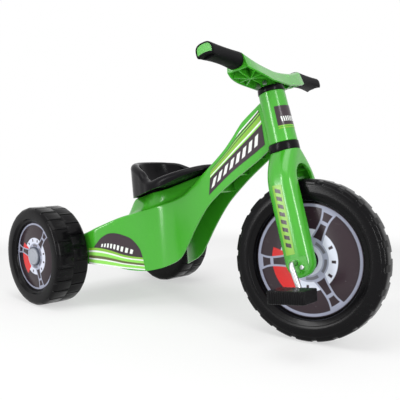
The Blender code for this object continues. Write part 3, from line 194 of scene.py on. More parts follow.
# Corners of the bar's section at distances out from its middle, as (out, x) and (out, z)
BAR_CORNERS = {
    "front lip": (((0, 0.0255), (0.080, 0.0250), (0.100, 0.0225), (0.118, 0.0178)),
                  ((0, 0.3340), (0.030, 0.3340), (0.054, 0.3375), (0.097, 0.3445), (0.118, 0.3520))),
    "front edge": (((0, 0.0155), (0.080, 0.0155), (0.118, 0.0140)),
                   ((0, 0.3585), (0.055, 0.3635), (0.080, 0.3672), (0.118, 0.3780))),
    "top": (((0, 0.0), (0.118, 0.0)),
            ((0, BAR_TOP), (0.030, 0.3618), (0.055, 0.3655), (0.080, 0.3700), (0.118, 0.3790))),
    "rear edge": (((0, -0.0180), (0.080, -0.0175), (0.118, -0.0140)),
                  ((0, 0.3580), (0.055, 0.3622), (0.080, 0.3655), (0.118, 0.3735))),
    "rear lip": (((0, -0.0270), (0.080, -0.0255), (0.100, -0.0225), (0.118, -0.0178)),
                 ((0, 0.3380), (0.060, 0.3405), (0.100, 0.3470), (0.118, 0.3545))),
}

# Front wheel, crank and pedals
FRONT_DISC_RADIUS = 0.1055
FRONT_DISC_BORE = 0.0075
FRONT_WEB_HALF = 0.0070
DISC_THICK = 0.0012
FRONT_LUGS = 22
FRONT_LUG_DEPTH = 0.0021
FRONT_LUG_START = 0.1396
FRONT_LUG_FADE = 0.0030
FRONT_NOTCH_HALF = math.radians(2.15)
FRONT_NOTCH_EDGE = math.radians(0.5)
# Half of the profile as (radius, y), from the bore outwards
FRONT_TYRE = (
    (0.0070, 0.0070), (0.1066, 0.0070), (0.1073, 0.0075), (0.1080, 0.0092), (0.1095, 0.0160),
    (0.1103, 0.0176), (0.1120, 0.0184), (0.1190, 0.0199), (0.1196, 0.0206), (0.1206, 0.0210),
    (0.1266, 0.0214), (0.1330, 0.0213), (0.1382, 0.0207), (0.1392, 0.0203), (0.1400, 0.0195),
    (0.1425, 0.0191), (0.1452, 0.0182), (0.1474, 0.0164), (0.1487, 0.0140), (0.1492, 0.0115),
    (0.1493, 0.0070), (0.1494, 0.0022),
)
DRIVE_HUB_RADIUS = 0.0205
DRIVE_HUB_THICK = 0.0135
DRIVE_HUB_BASE = FRONT_WEB_HALF + DISC_THICK + 2 * STEP_GAP
DRIVE_HUB_BORE = 0.0054
DRIVE_LUG_REACH = 0.0125
DRIVE_LUG_THICK = 0.0040
DRIVE_LUG_DEPTH = 0.0065
CRANK_RADIUS = 0.0050
CRANK_THROW = 0.0530
CRANK_PLANE = 0.0815
CRANK_BEND = 0.0125
CRANK_ANGLE = math.radians(-8.0)
CRANK_TIP = 0.1375
PEDAL_NEAR = 0.0895
PEDAL_FAR = 0.1445
PEDAL_HALF_LENGTH = 0.0350
PEDAL_HALF_THICK = 0.01125
PEDAL_CORNER = 0.0075
PEDAL_FLUTES = 58
PEDAL_FLUTE_DEPTH = 0.0010
PEDAL_EDGE = 0.0024
PEDAL_BARS = 9
PEDAL_BAR_PITCH = 0.0070
PEDAL_BAR_HEIGHT = 0.0006
PEDAL_BAR_ROOT = 0.0012
PEDAL_NOSE_UP = math.radians(6.0)

# Rear wheels
REAR_TREAD_RADIUS = 0.1109
REAR_OUTER_FACE = 0.232
REAR_INNER_FACE = 0.150
REAR_DISC_RADIUS = 0.076
REAR_DISC_BORE = 0.0100
REAR_RECESS = 0.0125
REAR_GROOVES = 24
REAR_GROOVE_DEPTH = 0.0016
REAR_GROOVE_HALF = math.radians(0.68)
REAR_GROOVE_EDGE = math.radians(0.35)
REAR_BLOCK_HALF = 0.47
REAR_FLATNESS = 0.6
REAR_MIDDLE = 0.5 * (REAR_OUTER_FACE + REAR_INNER_FACE)
REAR_WEB = REAR_OUTER_FACE - REAR_RECESS
HUB_CAP_RADIUS = 0.0185
HUB_CAP_HEIGHT = 0.0075
HUB_CAP_BASE = REAR_WEB + DISC_THICK + 2 * STEP_GAP

# Stickers on the fork's legs and round the head tube
LEG_STICKER_LOW = 0.0152
LEG_STICKER_HIGH = 0.1433
LEG_STICKER_BACK = -0.0159
LEG_STICKER_WIDTH = 0.0182
LEG_STICKER_LEAN = 0.0037
LEG_STICKER_TAPER = 0.0001
LEG_STICKER_SLANT = 0.0019
HEAD_STICKER_LOW = 0.2466
HEAD_STICKER_HIGH = 0.2905
HEAD_STICKER_TURN = 58

# Camera: solved from the photograph, in the body's frame, with its pixels of a 400 pixel frame
CAMERA_AT = (1.24924, -0.95379, 0.35592)
CAMERA_YAW = 2.3504788
CAMERA_PITCH = 0.0836148
CAMERA_FOCUS = 624.6165
PHOTO_WIDTH = 400
SENSOR_WIDTH = 36.0

# Studio
FLOOR_REACH = 30.0
FLOOR_FADE_START = 0.55
FLOOR_FADE_END = 1.5
FLOOR_GLOW = 0.55
ROOM_LEVEL = 0.46
LAMP_AIM = (0.0, 0.0, 0.35)
STRIP_WIDTH = 0.30
STRIP_HEIGHT = 1.8
STRIP_POWER = 29.0

CREASE = math.radians(34)
RUB_ROUGHNESS = 0.06
DRIFT_ROUGHNESS = 0.10
STICKER_EDGE = 0.015
PRINT_EDGE = 0.012
SPOKE_ANGLE = math.radians(51)
CALIPER_ANGLE = math.radians(192)
CALIPER_REACH = math.radians(42)

# Colours, linear
GREEN = (0.048, 0.365, 0.018)
BLACK = (0.0040, 0.0038, 0.0045)
SEAT_BLACK = (0.0040, 0.0038, 0.0048)
TYRE_BLACK = (0.0032, 0.0030, 0.0036)
GRIP_BLACK = (0.0034, 0.0032, 0.0042)
STEEL = (0.62, 0.63, 0.65)
CAP_GREY = (0.33, 0.35, 0.40)
CAP_RING = (0.052, 0.062, 0.090)
STICKER_DARK = (0.042, 0.028, 0.036)
STICKER_OLIVE = (0.110, 0.120, 0.045)
STICKER_WHITE = (0.80, 0.83, 0.80)
STICKER_LIME = (0.22, 0.46, 0.050)
STICKER_GREEN = (0.26, 0.66, 0.10)
PRINT_GROUND = (0.030, 0.018, 0.024)
PRINT_SILVER = (0.36, 0.38, 0.49)
PRINT_PALE = (0.66, 0.69, 0.80)
PRINT_RED = (0.66, 0.020, 0.020)
PRINT_GREY = (0.16, 0.16, 0.19)
RUB_GREY = (0.45, 0.46, 0.46)
FLOOR_WHITE = (0.93, 0.93, 0.93)


def rotation(angle, axis):
    """A turn about an axis, as a 4 x 4 array."""
    return np.array(Matrix.Rotation(angle, 4, axis))


def shifted(x, y, z):
    """A move, as a 4 x 4 array."""
    return np.array(Matrix.Translation((x, y, z)))


axle_low, axle_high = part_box("rear_axle")
IN_BODY = shifted(0.5 * (axle_low.x + axle_high.x), 0, 0)
IN_HEAD = IN_BODY @ shifted(WHEELBASE, 0, FRONT_AXLE_HEIGHT) @ rotation(-HEAD_TILT, "Y")
IN_STEERING = IN_HEAD @ rotation(STEER_AT_REST, "Z")
IN_CRANK = IN_STEERING @ rotation(CRANK_ANGLE, "Y")
IN_SEAT = IN_BODY @ shifted(SEAT_BACK, 0, SEAT_BASE_HEIGHT) @ rotation(-SEAT_TILT, "Y")
AT_REAR_AXLE = IN_BODY @ shifted(0, 0, REAR_AXLE_HEIGHT)
ALONG_Z = rotation(math.pi / 2, "X")


def smooth_step(value):
    """0 below 0, 1 above 1 and the S t^2 (3 - 2t) between."""
    t = np.clip(value, 0.0, 1.0)
    return t * t * (3 - 2 * t)


def curve(points, at):
    """Cubic pieces through (place, height) points, each slope the harmonic mean of its two rises."""
    x, y = np.array(points, float).T
    rise = np.diff(y) / np.diff(x)
    product = rise[:-1] * rise[1:]
    agree = product > 0
    inner = np.where(agree, 2 * product / np.where(agree, rise[:-1] + rise[1:], 1), 0)
    slope = np.concatenate([rise[:1], inner, rise[-1:]])
    at = np.asarray(at, float)
    k = np.clip(np.searchsorted(x, at, side="left") - 1, 0, len(x) - 2)
    span = x[k + 1] - x[k]
    t = (at - x[k]) / span
    start = (2 * t ** 3 - 3 * t ** 2 + 1) * y[k] + (t ** 3 - 2 * t ** 2 + t) * slope[k] * span
    return start + (3 * t ** 2 - 2 * t ** 3) * y[k + 1] + (t ** 3 - t ** 2) * slope[k + 1] * span


def softened(corners, radii, steps=4):
    """A polyline with round corners: each corner B becomes (1-t)^2 P + 2t(1-t) B + t^2 Q.

    P and Q lie a radius away from B towards the corners before and after it.
    """
    before, here, after = corners[..., :-2, :], corners[..., 1:-1, :], corners[..., 2:, :]

    def toward(target):
        reach = target - here
        length = np.linalg.norm(reach, axis=-1, keepdims=True)
        return here + reach * np.minimum(radii / np.maximum(length, 1e-9), 0.48)

    t = np.linspace(0, 1, steps + 1)[:, None]
    p, q = toward(before)[..., None, :], toward(after)[..., None, :]
    bends = (1 - t) ** 2 * p + 2 * t * (1 - t) * here[..., None, :] + t ** 2 * q
    bends = bends.reshape(*corners.shape[:-2], -1, corners.shape[-1])
    return np.concatenate([corners[..., :1, :], bends, corners[..., -1:, :]], axis=-2)


def spaced(points, shares):
    """Points along a polyline at shares of its whole length."""
    lengths = np.linalg.norm(np.diff(points, axis=0), axis=1)
    along = np.concatenate([[0.0], np.cumsum(lengths)])
    at = np.asarray(shares) * along[-1]
    return np.stack([np.interp(at, along, column) for column in points.T], -1)


def inset(outline, depth):
    """A polyline moved to its right-hand side: p + depth (t_z, -t_x), with t its direction."""
    ahead = np.gradient(outline, axis=-2)
    ahead /= np.maximum(np.linalg.norm(ahead, axis=-1, keepdims=True), 1e-9)
    return outline + depth * np.stack([ahead[..., 1], -ahead[..., 0]], -1)


def placed(points, place):
    """Points carried out of a frame: R p + t."""
    return points @ place[:3, :3].T + place[:3, 3]


def grid_faces(rows, columns, around=True, along=False):
    """Quads between neighbouring rows and columns; around closes the columns, along the rows."""
    low = np.arange(rows if along else rows - 1)[:, None] * columns
    high = (low + columns) % (rows * columns)
    left = np.arange(columns if around else columns - 1)[None, :]
    right = (left + 1) % columns
    return np.stack([low + left, low + right, high + right, high + left], -1).reshape(-1, 4)


def skin(rings, around=True, along=False, caps=()):
    """A surface through a grid of points, with fans about their middles over its end rings."""
    rows, columns = rings.shape[:2]
    points = rings.reshape(-1, 3)
    faces = [grid_faces(rows, columns, around, along)]
    for end in caps:
        ring = np.arange(columns) + (rows - 1) * columns * (end != 0)
        after = np.roll(ring, -1)
        hub = np.full(columns, len(points))
        faces.append(np.stack([ring, after, hub] if end else [after, ring, hub], -1))
        points = np.vstack([points, rings[end].mean(axis=0)])
    return points, outward(points, faces) if around else faces


def outward(points, faces):
    """The faces of a closed skin, turned over where its volume, the sum of a.(b x c)/6, is negative."""
    halves = [np.vstack([f[:, :3], f[:, [0, 2, 3]]]) if f.shape[1] == 4 else f for f in faces]
    a, b, c = points[np.vstack(halves)].transpose(1, 0, 2)
    volume = np.sum(a * np.cross(b, c))
    return faces if volume > 0 else [f[:, ::-1] for f in faces]


def walled(outer, inner):
    """A closed wall between two grids of one size, joined all round their edges."""
    rows, columns = outer.shape[:2]
    points = np.concatenate([outer, inner[:, ::-1]], axis=1)
    k = np.arange(columns - 1)
    strip = np.stack([k + 1, k, 2 * columns - 1 - k, 2 * columns - 2 - k], -1)
    last = strip[:, ::-1] + (rows - 1) * 2 * columns
    faces = [grid_faces(rows, 2 * columns), strip, last]
    points = points.reshape(-1, 3)
    return points, outward(points, faces)


def thickened(outer, depth):
    """A wall whose inner grid is the outer one moved back along its normal, du x dv."""
    normal = np.cross(np.gradient(outer, axis=0), np.gradient(outer, axis=1))
    normal /= np.maximum(np.linalg.norm(normal, axis=-1, keepdims=True), 1e-12)
    return walled(outer, outer - depth * normal)


def slab(sheet, depth, across):
    """A thin plate: a grid moved half its depth each way along a direction."""
    half = 0.5 * depth * np.array(across, float)
    return walled(sheet + half, sheet - half)


def about_y(r, y, a):
    """Points at radii, places along Y and angles: (r sin a, y, -r cos a)."""
    return np.stack(np.broadcast_arrays(r * np.sin(a), y, -r * np.cos(a)), -1)


def turned(profile, angles, dents=0.0):
    """A ring about Y through a closed outline of (radius, y), less dents in its radius."""
    r, y = np.array(profile, float).T
    return skin(about_y(r[None] - dents, y[None], np.asarray(angles)[:, None]), along=True)


def lathe(profile, columns):
    """A solid about Y through an open outline of (radius, y), closed over both its ends."""
    r, y = np.array(profile, float).T
    return skin(about_y(r[:, None], y[:, None], even_turn(columns)[None]), caps=(0, -1))


def even_turn(columns):
    """Evenly spaced angles round a circle."""
    return np.arange(columns) * math.tau / columns


def upright_ring(profile, columns, place=np.eye(4)):
    """A turned ring stood on end, about the Z of a frame."""
    spots, faces = turned(profile, even_turn(columns))
    return placed(spots, place @ ALONG_Z), faces


def mirrored(profile, sign):
    """A profile's y on the right, -1, or the left, 1."""
    return np.array(profile, float) * (1.0, sign)


def piece(name, parts, place, material, body, nodes, chart=None):
    """One object from closed parts, carried out of its frame, riding on a body for CAD nodes."""
    start = 0
    points = []
    faces = []
    for spots, groups in parts:
        points.append(placed(spots, place))
        faces += [face for group in groups for face in (group + start).tolist()]
        start += len(spots)
    mesh = bpy.data.meshes.new(name)
    mesh.from_pydata(np.vstack(points).tolist(), [], faces)
    mesh.materials.append(material)
    if chart is not None:
        corners = np.empty(len(mesh.loops), np.int32)
        mesh.loops.foreach_get("vertex_index", corners)
        mesh.uv_layers.new(name="print").data.foreach_set("uv", chart[corners].ravel())
    mesh.shade_smooth()
    mesh.set_sharp_from_angle(angle=CREASE)
    item = bpy.data.objects.new(name, mesh)
    bpy.context.scene.collection.objects.link(item)
    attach(item, body)
    if nodes:
        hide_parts(*nodes)
    return item


class Recipe:
    """Adds nodes to one material's or group's tree; sockets and plain numbers both feed them."""

    def __init__(self, tree):
        self.tree = tree

    def node(self, kind, **settings):
        """A new node with its settings."""
        item = self.tree.nodes.new(kind)
        for name, value in settings.items():
            setattr(item, name, value)
        return item

    def feed(self, socket, value):
        """Links a socket, or writes a number or colour."""
        if isinstance(value, bpy.types.NodeSocket):
            self.tree.links.new(value, socket)
        elif isinstance(value, tuple) and len(value) == 3 and socket.type == "RGBA":
            socket.default_value = (*value, 1.0)
        else:
            socket.default_value = value

    def maths(self, operation, *values, clamp=False):
        """One Math node's result."""
        item = self.node("ShaderNodeMath", operation=operation, use_clamp=clamp)
        for socket, value in zip(item.inputs, values):
            self.feed(socket, value)
        return item.outputs[0]

    def past(self, value, edge, soft):
        """0 where a value is under an edge and 1 over it."""
        over = self.maths("SUBTRACT", value, edge)
        return self.maths("MULTIPLY_ADD", over, 1.0 / soft, 0.5, clamp=True)

    def under(self, value, edge, soft):
        """1 where a value is under an edge and 0 over it."""
        return self.past(self.maths("MULTIPLY", value, -1.0), -edge, soft)

    def within(self, value, low, high, soft):
        """1 where a value lies between two edges."""
        return self.maths("SUBTRACT", self.past(value, low, soft), self.past(value, high, soft),
                          clamp=True)

    def both(self, *masks):
        """The product of masks."""
        result = masks[0]
        for mask in masks[1:]:
            result = self.maths("MULTIPLY", result, mask)
        return result

    def paint(self, base, colour, mask):
        """A colour laid over another where a mask is 1."""
        item = self.node("ShaderNodeMix", data_type="RGBA")
        self.feed(item.inputs["Factor"], mask)
        self.feed(item.inputs[6], base)
        self.feed(item.inputs[7], colour)
        return item.outputs[2]

    def noise(self, place, scale, detail=2.0):
        """A noise value at a place."""
        item = self.node("ShaderNodeTexNoise")
        self.feed(item.inputs["Vector"], place)
        self.feed(item.inputs["Scale"], scale)
        self.feed(item.inputs["Detail"], detail)
        return item.outputs["Fac"]

    def chart(self):
        """u and v of the piece's print map."""
        parts = self.node("ShaderNodeSeparateXYZ")
        self.feed(parts.inputs[0], self.node("ShaderNodeUVMap", uv_map="print").outputs[0])
        return parts.outputs[0], parts.outputs[1]

    def seen_directly(self):
        """1 for rays from the camera, from gloss or through glass."""
        rays = self.node("ShaderNodeLightPath").outputs
        direct = self.maths("ADD", rays["Is Camera Ray"], rays["Is Glossy Ray"])
        return self.maths("ADD", direct, rays["Is Transmission Ray"], clamp=True)

    def show_mix(self, output, mask, plain, shown):
        """Sends two shaders to an output, the second where a mask is 1."""
        mixed = self.node("ShaderNodeMixShader")
        for socket, value in zip(mixed.inputs, (mask, plain, shown)):
            self.feed(socket, value)
        self.feed(self.tree.nodes[output].inputs["Surface"], mixed.outputs[0])

    def group(self, tree, **values):
        """A placed node group."""
        item = self.node("ShaderNodeGroup", node_tree=tree)
        for name, value in values.items():
            self.feed(item.inputs[name.replace("_", " ").title()], value)
        return item.outputs


def moulding_group():
    """Shared moulded finish: Tone drifts over the part, Grain is fine, Scuffs are rare rubs."""
    tree = bpy.data.node_groups.new("moulded_finish", "ShaderNodeTree")
    sockets = tree.interface
    sockets.new_socket("Place", in_out="INPUT", socket_type="NodeSocketVector")
    sockets.new_socket("Grain Size", in_out="INPUT", socket_type="NodeSocketFloat")
    for name in ("Tone", "Grain", "Scuffs"):
        sockets.new_socket(name, in_out="OUTPUT", socket_type="NodeSocketFloat")
    recipe = Recipe(tree)
    given = recipe.node("NodeGroupInput").outputs
    result = recipe.node("NodeGroupOutput").inputs
    broad = recipe.noise(given["Place"], 7.0, 3.0)
    fine = recipe.noise(given["Place"], given["Grain Size"], 2.0)
    stretched = recipe.node("ShaderNodeMapping")
    stretched.inputs["Scale"].default_value = (1.0, 0.35, 2.2)
    recipe.feed(stretched.inputs["Vector"], given["Place"])
    rubs = recipe.noise(stretched.outputs[0], 90.0, 4.0)
    where = recipe.past(recipe.noise(given["Place"], 16.0, 2.0), 0.56, 0.16)
    scuffs = recipe.both(recipe.past(rubs, 0.64, 0.10), where)
    recipe.feed(result["Tone"], broad)
    recipe.feed(result["Grain"], fine)
    recipe.feed(result["Scuffs"], scuffs)
    return tree


MOULDED_FINISH = moulding_group()


def new_material(name, roughness, metallic=0.0, specular=0.5):
    """A Principled material, with its recipe and shader."""
    material = bpy.data.materials.new(name)
    material.use_nodes = True
    shader = material.node_tree.nodes["Principled BSDF"]
    shader.inputs["Roughness"].default_value = roughness
    shader.inputs["Metallic"].default_value = metallic
    shader.inputs["Specular IOR Level"].default_value = specular
    return material, Recipe(material.node_tree), shader


def finish_surface(recipe, shader, colour, roughness, grain_size, grain_depth, drift, rub):
    """Colour drift, fine grain in the normal and rougher, paler rubs on any base colour."""
    place = recipe.node("ShaderNodeTexCoord").outputs["Object"]
    tone, grain, scuffs = recipe.group(MOULDED_FINISH, place=place, grain_size=grain_size)
    darker = recipe.maths("MULTIPLY_ADD", recipe.maths("SUBTRACT", tone, 0.5), drift, 1.0)
    shade = recipe.node("ShaderNodeVectorMath", operation="SCALE")
    recipe.feed(shade.inputs[0], colour)
    recipe.feed(shade.inputs["Scale"], darker)
    rubbed = recipe.paint(shade.outputs[0], RUB_GREY, recipe.maths("MULTIPLY", scuffs, rub))
    recipe.feed(shader.inputs["Base Color"], rubbed)
    rough = recipe.maths("MULTIPLY_ADD", scuffs, RUB_ROUGHNESS, roughness)
    off = recipe.maths("SUBTRACT", tone, 0.5)
    rough = recipe.maths("MULTIPLY_ADD", off, DRIFT_ROUGHNESS, rough)
    recipe.feed(shader.inputs["Roughness"], rough)
    bump = recipe.node("ShaderNodeBump")
    bump.inputs["Strength"].default_value = 1.0
    bump.inputs["Distance"].default_value = grain_depth
    recipe.feed(bump.inputs["Height"], grain)
    recipe.feed(shader.inputs["Normal"], bump.outputs[0])


def moulded(name, colour, roughness, grain_size=900.0, grain_depth=0.00006, drift=0.16, rub=0.05,
            metallic=0.0, specular=0.5):
    """A moulded plastic, rubber or plated metal of one colour with the shared finish."""
    material, recipe, shader = new_material(name, roughness, metallic, specular)
    finish_surface(recipe, shader, colour, roughness, grain_size, grain_depth, drift, rub)
    return material


def sticker(name, bands, ink=None, bars=0.0, lean=0.0, bar_band=(0, 1), bar_span=(0, 1)):
    """A glossy striped sticker: bands of colour across v, and leaning bars of ink over them.

    A bar shows where fract(bars u + lean v) is in the middle, inside its band of v and span of u.
    """
    material, recipe, shader = new_material(name, 0.22, specular=0.35)
    u, v = recipe.chart()
    colour = STICKER_DARK
    for edge, paint in bands:
        colour = recipe.paint(colour, paint, recipe.past(v, edge, STICKER_EDGE))
    if ink:
        slant = recipe.maths("MULTIPLY_ADD", v, lean, recipe.maths("MULTIPLY", u, bars))
        stripe = recipe.within(recipe.maths("FRACT", slant), 0.20, 0.74, 0.06)
        mask = recipe.both(stripe, recipe.within(v, *bar_band, STICKER_EDGE),
                           recipe.within(u, *bar_span, 0.01))
        colour = recipe.paint(colour, ink, mask)
    finish_surface(recipe, shader, colour, 0.22, 700.0, 0.00001, 0.06, 0.04)
    return material


def wheel_print(name):
    """A generic printed wheel: outer ring, brake ring with slots, caliper, three spokes and hub.

    r and a are polar about the middle. A spoke is where r |sin(a - nearest)| is under
    0.09 + (r - 0.7)^2, less inwards, and it holds two dark windows inside a line.
    """
    material, recipe, shader = new_material(name, 0.24, specular=0.30)
    u, v = recipe.chart()
    squares = recipe.maths("MULTIPLY_ADD", u, u, recipe.maths("MULTIPLY", v, v))
    r = recipe.maths("SQRT", squares)
    a = recipe.maths("ARCTAN2", v, u)

    def ring(low, high):
        return recipe.within(r, low, high, PRINT_EDGE)

    def dashes(count, low, high, soft):
        beat = recipe.maths("FRACT", recipe.maths("MULTIPLY", a, count / math.tau))
        return recipe.within(beat, low, high, soft)

    def turn_from(angle, half):
        return recipe.maths("WRAP", recipe.maths("SUBTRACT", a, angle), half, -half)

    caliper = recipe.within(turn_from(CALIPER_ANGLE, math.pi), -CALIPER_REACH, CALIPER_REACH, 0.03)
    sine = recipe.maths("SINE", turn_from(SPOKE_ANGLE, math.pi / 3))
    across = recipe.maths("ABSOLUTE", recipe.maths("MULTIPLY", r, sine))
    out = recipe.maths("SUBTRACT", r, 0.70)
    eased = recipe.maths("MAXIMUM", out, recipe.maths("MULTIPLY", out, 0.35))
    over = recipe.maths("SUBTRACT", across, recipe.maths("MULTIPLY_ADD", out, eased, 0.090))
    windows = recipe.maths("MAXIMUM", ring(0.41, 0.68), ring(0.74, 0.89))
    layers = (
        (PRINT_SILVER, ring(0.935, 0.985)),
        (PRINT_PALE, ring(0.38, 0.55)),
        (PRINT_GROUND, recipe.both(dashes(12, 0.40, 0.60, 0.05), ring(0.435, 0.515))),
        (PRINT_RED, recipe.both(caliper, ring(0.40, 0.70))),
        (PRINT_SILVER, recipe.both(recipe.under(over, 0.0, PRINT_EDGE), ring(0.30, 0.95))),
        (PRINT_GROUND, recipe.both(recipe.under(over, -0.034, PRINT_EDGE), windows)),
        (PRINT_SILVER, recipe.under(r, 0.38, PRINT_EDGE)),
        (PRINT_GREY, recipe.both(dashes(6, 0.15, 0.85, 0.04), ring(0.30, 0.355))),
        (PRINT_PALE, recipe.under(r, 0.27, PRINT_EDGE)),
    )
    colour = PRINT_GROUND
    for paint, mask in layers:
        colour = recipe.paint(colour, paint, mask)
    finish_surface(recipe, shader, colour, 0.24, 700.0, 0.00001, 0.05, 0.04)
    return material


def body_points(share, height, y):
    """Points over the line from rear axle to head tube, in planes that tilt with it."""
    lean = math.tan(HEAD_TILT) * smooth_step(share) * height
    line = REAR_AXLE_HEIGHT + share * (HEAD_Z - REAR_AXLE_HEIGHT)
    return np.stack(np.broadcast_arrays(share * HEAD_X - lean, y, line + height), -1)


def half_width(share):
    """Half the body's width: the beam's, narrowing to the head, plus the wings' flare."""
    narrowed = smooth_step((share - BEAM_TAPER_START) / BEAM_TAPER_SPAN)
    beam = BEAM_HALF_WIDTH + (BEAM_HEAD_HALF_WIDTH - BEAM_HALF_WIDTH) * narrowed
    return beam + (WING_HALF_WIDTH - beam) * curve(FLARE, share)


def pedestal_height(share):
    """How far the pedestal stands over the deck, up to the seat's base plane."""
    top = curve(TOP_EDGE, share)
    low = body_points(share, 0.0 * share, 0.0 * share)
    pitch = math.tan(SEAT_TILT)
    plane = SEAT_BASE_HEIGHT + pitch * (low[..., 0] - SEAT_BACK) - low[..., 2]
    gap = STEP_GAP / math.cos(SEAT_TILT) + DECK_CROWN
    reach = (plane - gap) / (1 + pitch * math.tan(HEAD_TILT) * smooth_step(share))
    x = body_points(share, top, 0.0 * share)[..., 0]
    ramp = smooth_step((x - PEDESTAL_REAR + PEDESTAL_RAMP) / PEDESTAL_RAMP)
    return np.maximum(0.0, reach - top) * ramp


def body_section(share, shrink=0.0, lift=0.0):
    """The body's arched outline at stations, right lower edge to left, as y and height."""
    share = np.atleast_1d(share)
    top = curve(TOP_EDGE, share) - shrink
    bottom = curve(BOTTOM_EDGE, share) + lift
    wide = half_width(share) - shrink
    corner = np.minimum(TOP_CORNER, 0.4 * wide)
    post = pedestal_height(share)
    room = wide - corner - PEDESTAL_MARGIN
    post_half = np.minimum(PEDESTAL_HALF_WIDTH, room) - shrink
    foot = np.minimum(post_half + PEDESTAL_FLARE, room + PEDESTAL_FOOT_ROOM)
    outline = ((wide, bottom), (wide, top), (foot, top),
               (post_half - PEDESTAL_DRAFT, top + post), (0.0 * wide, top + post))
    corners = np.stack([np.stack(pair, -1) for pair in outline], axis=1)
    radii = np.broadcast_arrays(corner, PEDESTAL_FOOT_RADIUS, PEDESTAL_TOP_RADIUS)
    half = softened(corners, np.stack(radii, -1)[..., None], 6)
    t = np.linspace(0, 1, WALL_ROWS)[None, :-1, None]
    wall = half[:, :1] + t * (half[:, 1:2] - half[:, :1])
    t = np.linspace(0, 1, 6)[None, 1:, None]
    deck = half[:, -2:-1] + t * (half[:, -1:] - half[:, -2:-1])
    half = np.concatenate([wall, half[:, 1:-1], deck], axis=1)
    y, height = half[..., 0], half[..., 1]
    height = height + DECK_CROWN * np.clip(1 - (y / (wide - corner)[:, None]) ** 2, 0, 1)
    return (np.concatenate([-y, y[:, -2::-1]], axis=1),
            np.concatenate([height, height[:, -2::-1]], axis=1))


def body_skin():
    """The body's arched skin, with 3.5 mm walls.

    Its front end follows a cylinder about the head axis, r = 24.5 mm, so it ends inside the
    tube's wall, and r = 31 mm below the tube, where it clears the black band.
    """
    reach = HEAD_X * math.cos(HEAD_TILT) + (HEAD_Z - REAR_AXLE_HEIGHT) * math.sin(HEAD_TILT)
    climb = (HEAD_Z - REAR_AXLE_HEIGHT) * math.cos(HEAD_TILT) - HEAD_X * math.sin(HEAD_TILT)
    first = (BODY_REAR + REAR_EDGE) / HEAD_X
    last = 1 - math.sqrt(BEAM_END_RADIUS ** 2 - BEAM_HEAD_HALF_WIDTH ** 2) / reach
    ramp_start, ramp_end = 0.198, 0.250
    stations = np.concatenate([np.linspace(first, ramp_start, 22)[:-1],
                               np.linspace(ramp_start, ramp_end, 22)[:-1],
                               np.linspace(ramp_end, last, 90)])
    y, height = body_section(stations)
    along = HEAD_MIDDLE + (stations[-1] - 1) * climb + height[-1] / math.cos(HEAD_TILT)
    radius = np.where(along < HEAD_BOTTOM, BAND_CUT_RADIUS, BEAM_END_RADIUS)
    end = 1 - np.sqrt(radius ** 2 - y[-1] ** 2) / reach
    pulled = smooth_step((stations - BEAM_END_START) / (last - BEAM_END_START))[:, None]
    share = stations[:, None] - (last - end)[None, :] * pulled
    return thickened(body_points(share, height, y), BODY_WALL)


def body_rear_wall():
    """The round-edged wall across the back, in rings of (shrink, distance ahead)."""
    steps = ((REAR_EDGE, 0.0), (0.3 * REAR_EDGE, 0.0007), (0.05 * REAR_EDGE, 0.0016),
             (0.0, REAR_EDGE), (0.0012, REAR_EDGE), (0.0012, 0.0042))
    rings = []
    for shrink, ahead in steps:
        shares = np.array([(BODY_REAR + ahead) / HEAD_X])
        y, height = body_section(shares, shrink)
        rings.append(body_points(shares[:, None], height, y)[0])
    return skin(np.array(rings), caps=(0, -1))


def body_rib(station):
    """A cross rib under the beam, let into its walls and short of their lower edge."""
    shares = np.array([station, station + RIB_THICK / HEAD_X])
    y, height = body_section(shares, 0.6 * BODY_WALL, RIB_RECESS)
    return skin(body_points(shares[:, None], height, y), caps=(0, -1))


def head_tube():
    """The slightly conical tube that the steering turns in."""
    edge = 0.0008
    tube = ((HEAD_BORE, HEAD_BOTTOM), (HEAD_RADIUS_BOTTOM - edge, HEAD_BOTTOM),
            (HEAD_RADIUS_BOTTOM, HEAD_BOTTOM + edge), (HEAD_RADIUS_TOP, HEAD_TOP - edge),
            (HEAD_RADIUS_TOP - edge, HEAD_TOP), (HEAD_BORE, HEAD_TOP))
    return upright_ring(tube, 96, np.linalg.inv(IN_BODY) @ IN_HEAD)


def axle_boss(sign):
    """The boss inside a wing that holds an axle bush."""
    edge = 0.0006
    near = WING_HALF_WIDTH - 0.5 * BODY_WALL
    far = WING_HALF_WIDTH - AXLE_BOSS_LENGTH
    boss = ((AXLE_BOSS_BORE, near), (AXLE_BOSS_RADIUS, near), (AXLE_BOSS_RADIUS, far + edge),
            (AXLE_BOSS_RADIUS - edge, far), (AXLE_BOSS_BORE, far))
    spots, faces = turned(mirrored(boss, sign), even_turn(40))
    return spots + (0, 0, REAR_AXLE_HEIGHT), faces


def body_moulding():
    """The body's skin, rear wall, cross ribs, head tube and axle bosses."""
    ribs = [body_rib(station) for station in RIB_STATIONS]
    bosses = [axle_boss(sign) for sign in (-1, 1)]
    return [body_skin(), body_rear_wall(), *ribs, head_tube(), *bosses]


def laid_sticker(name, grids, place, material, body):
    """A thin sticker between its outer and inner grids, with u along the rows and v across."""
    rows, columns = grids[0].shape[:2]
    u, v = np.meshgrid(np.linspace(0, 1, rows), np.linspace(0, 1, columns), indexing="ij")
    chart = np.stack([u, v], -1)
    chart = np.concatenate([chart, chart[:, ::-1]], axis=1).reshape(-1, 2)
    piece(name, [walled(*grids)], place, material, body, (), chart)


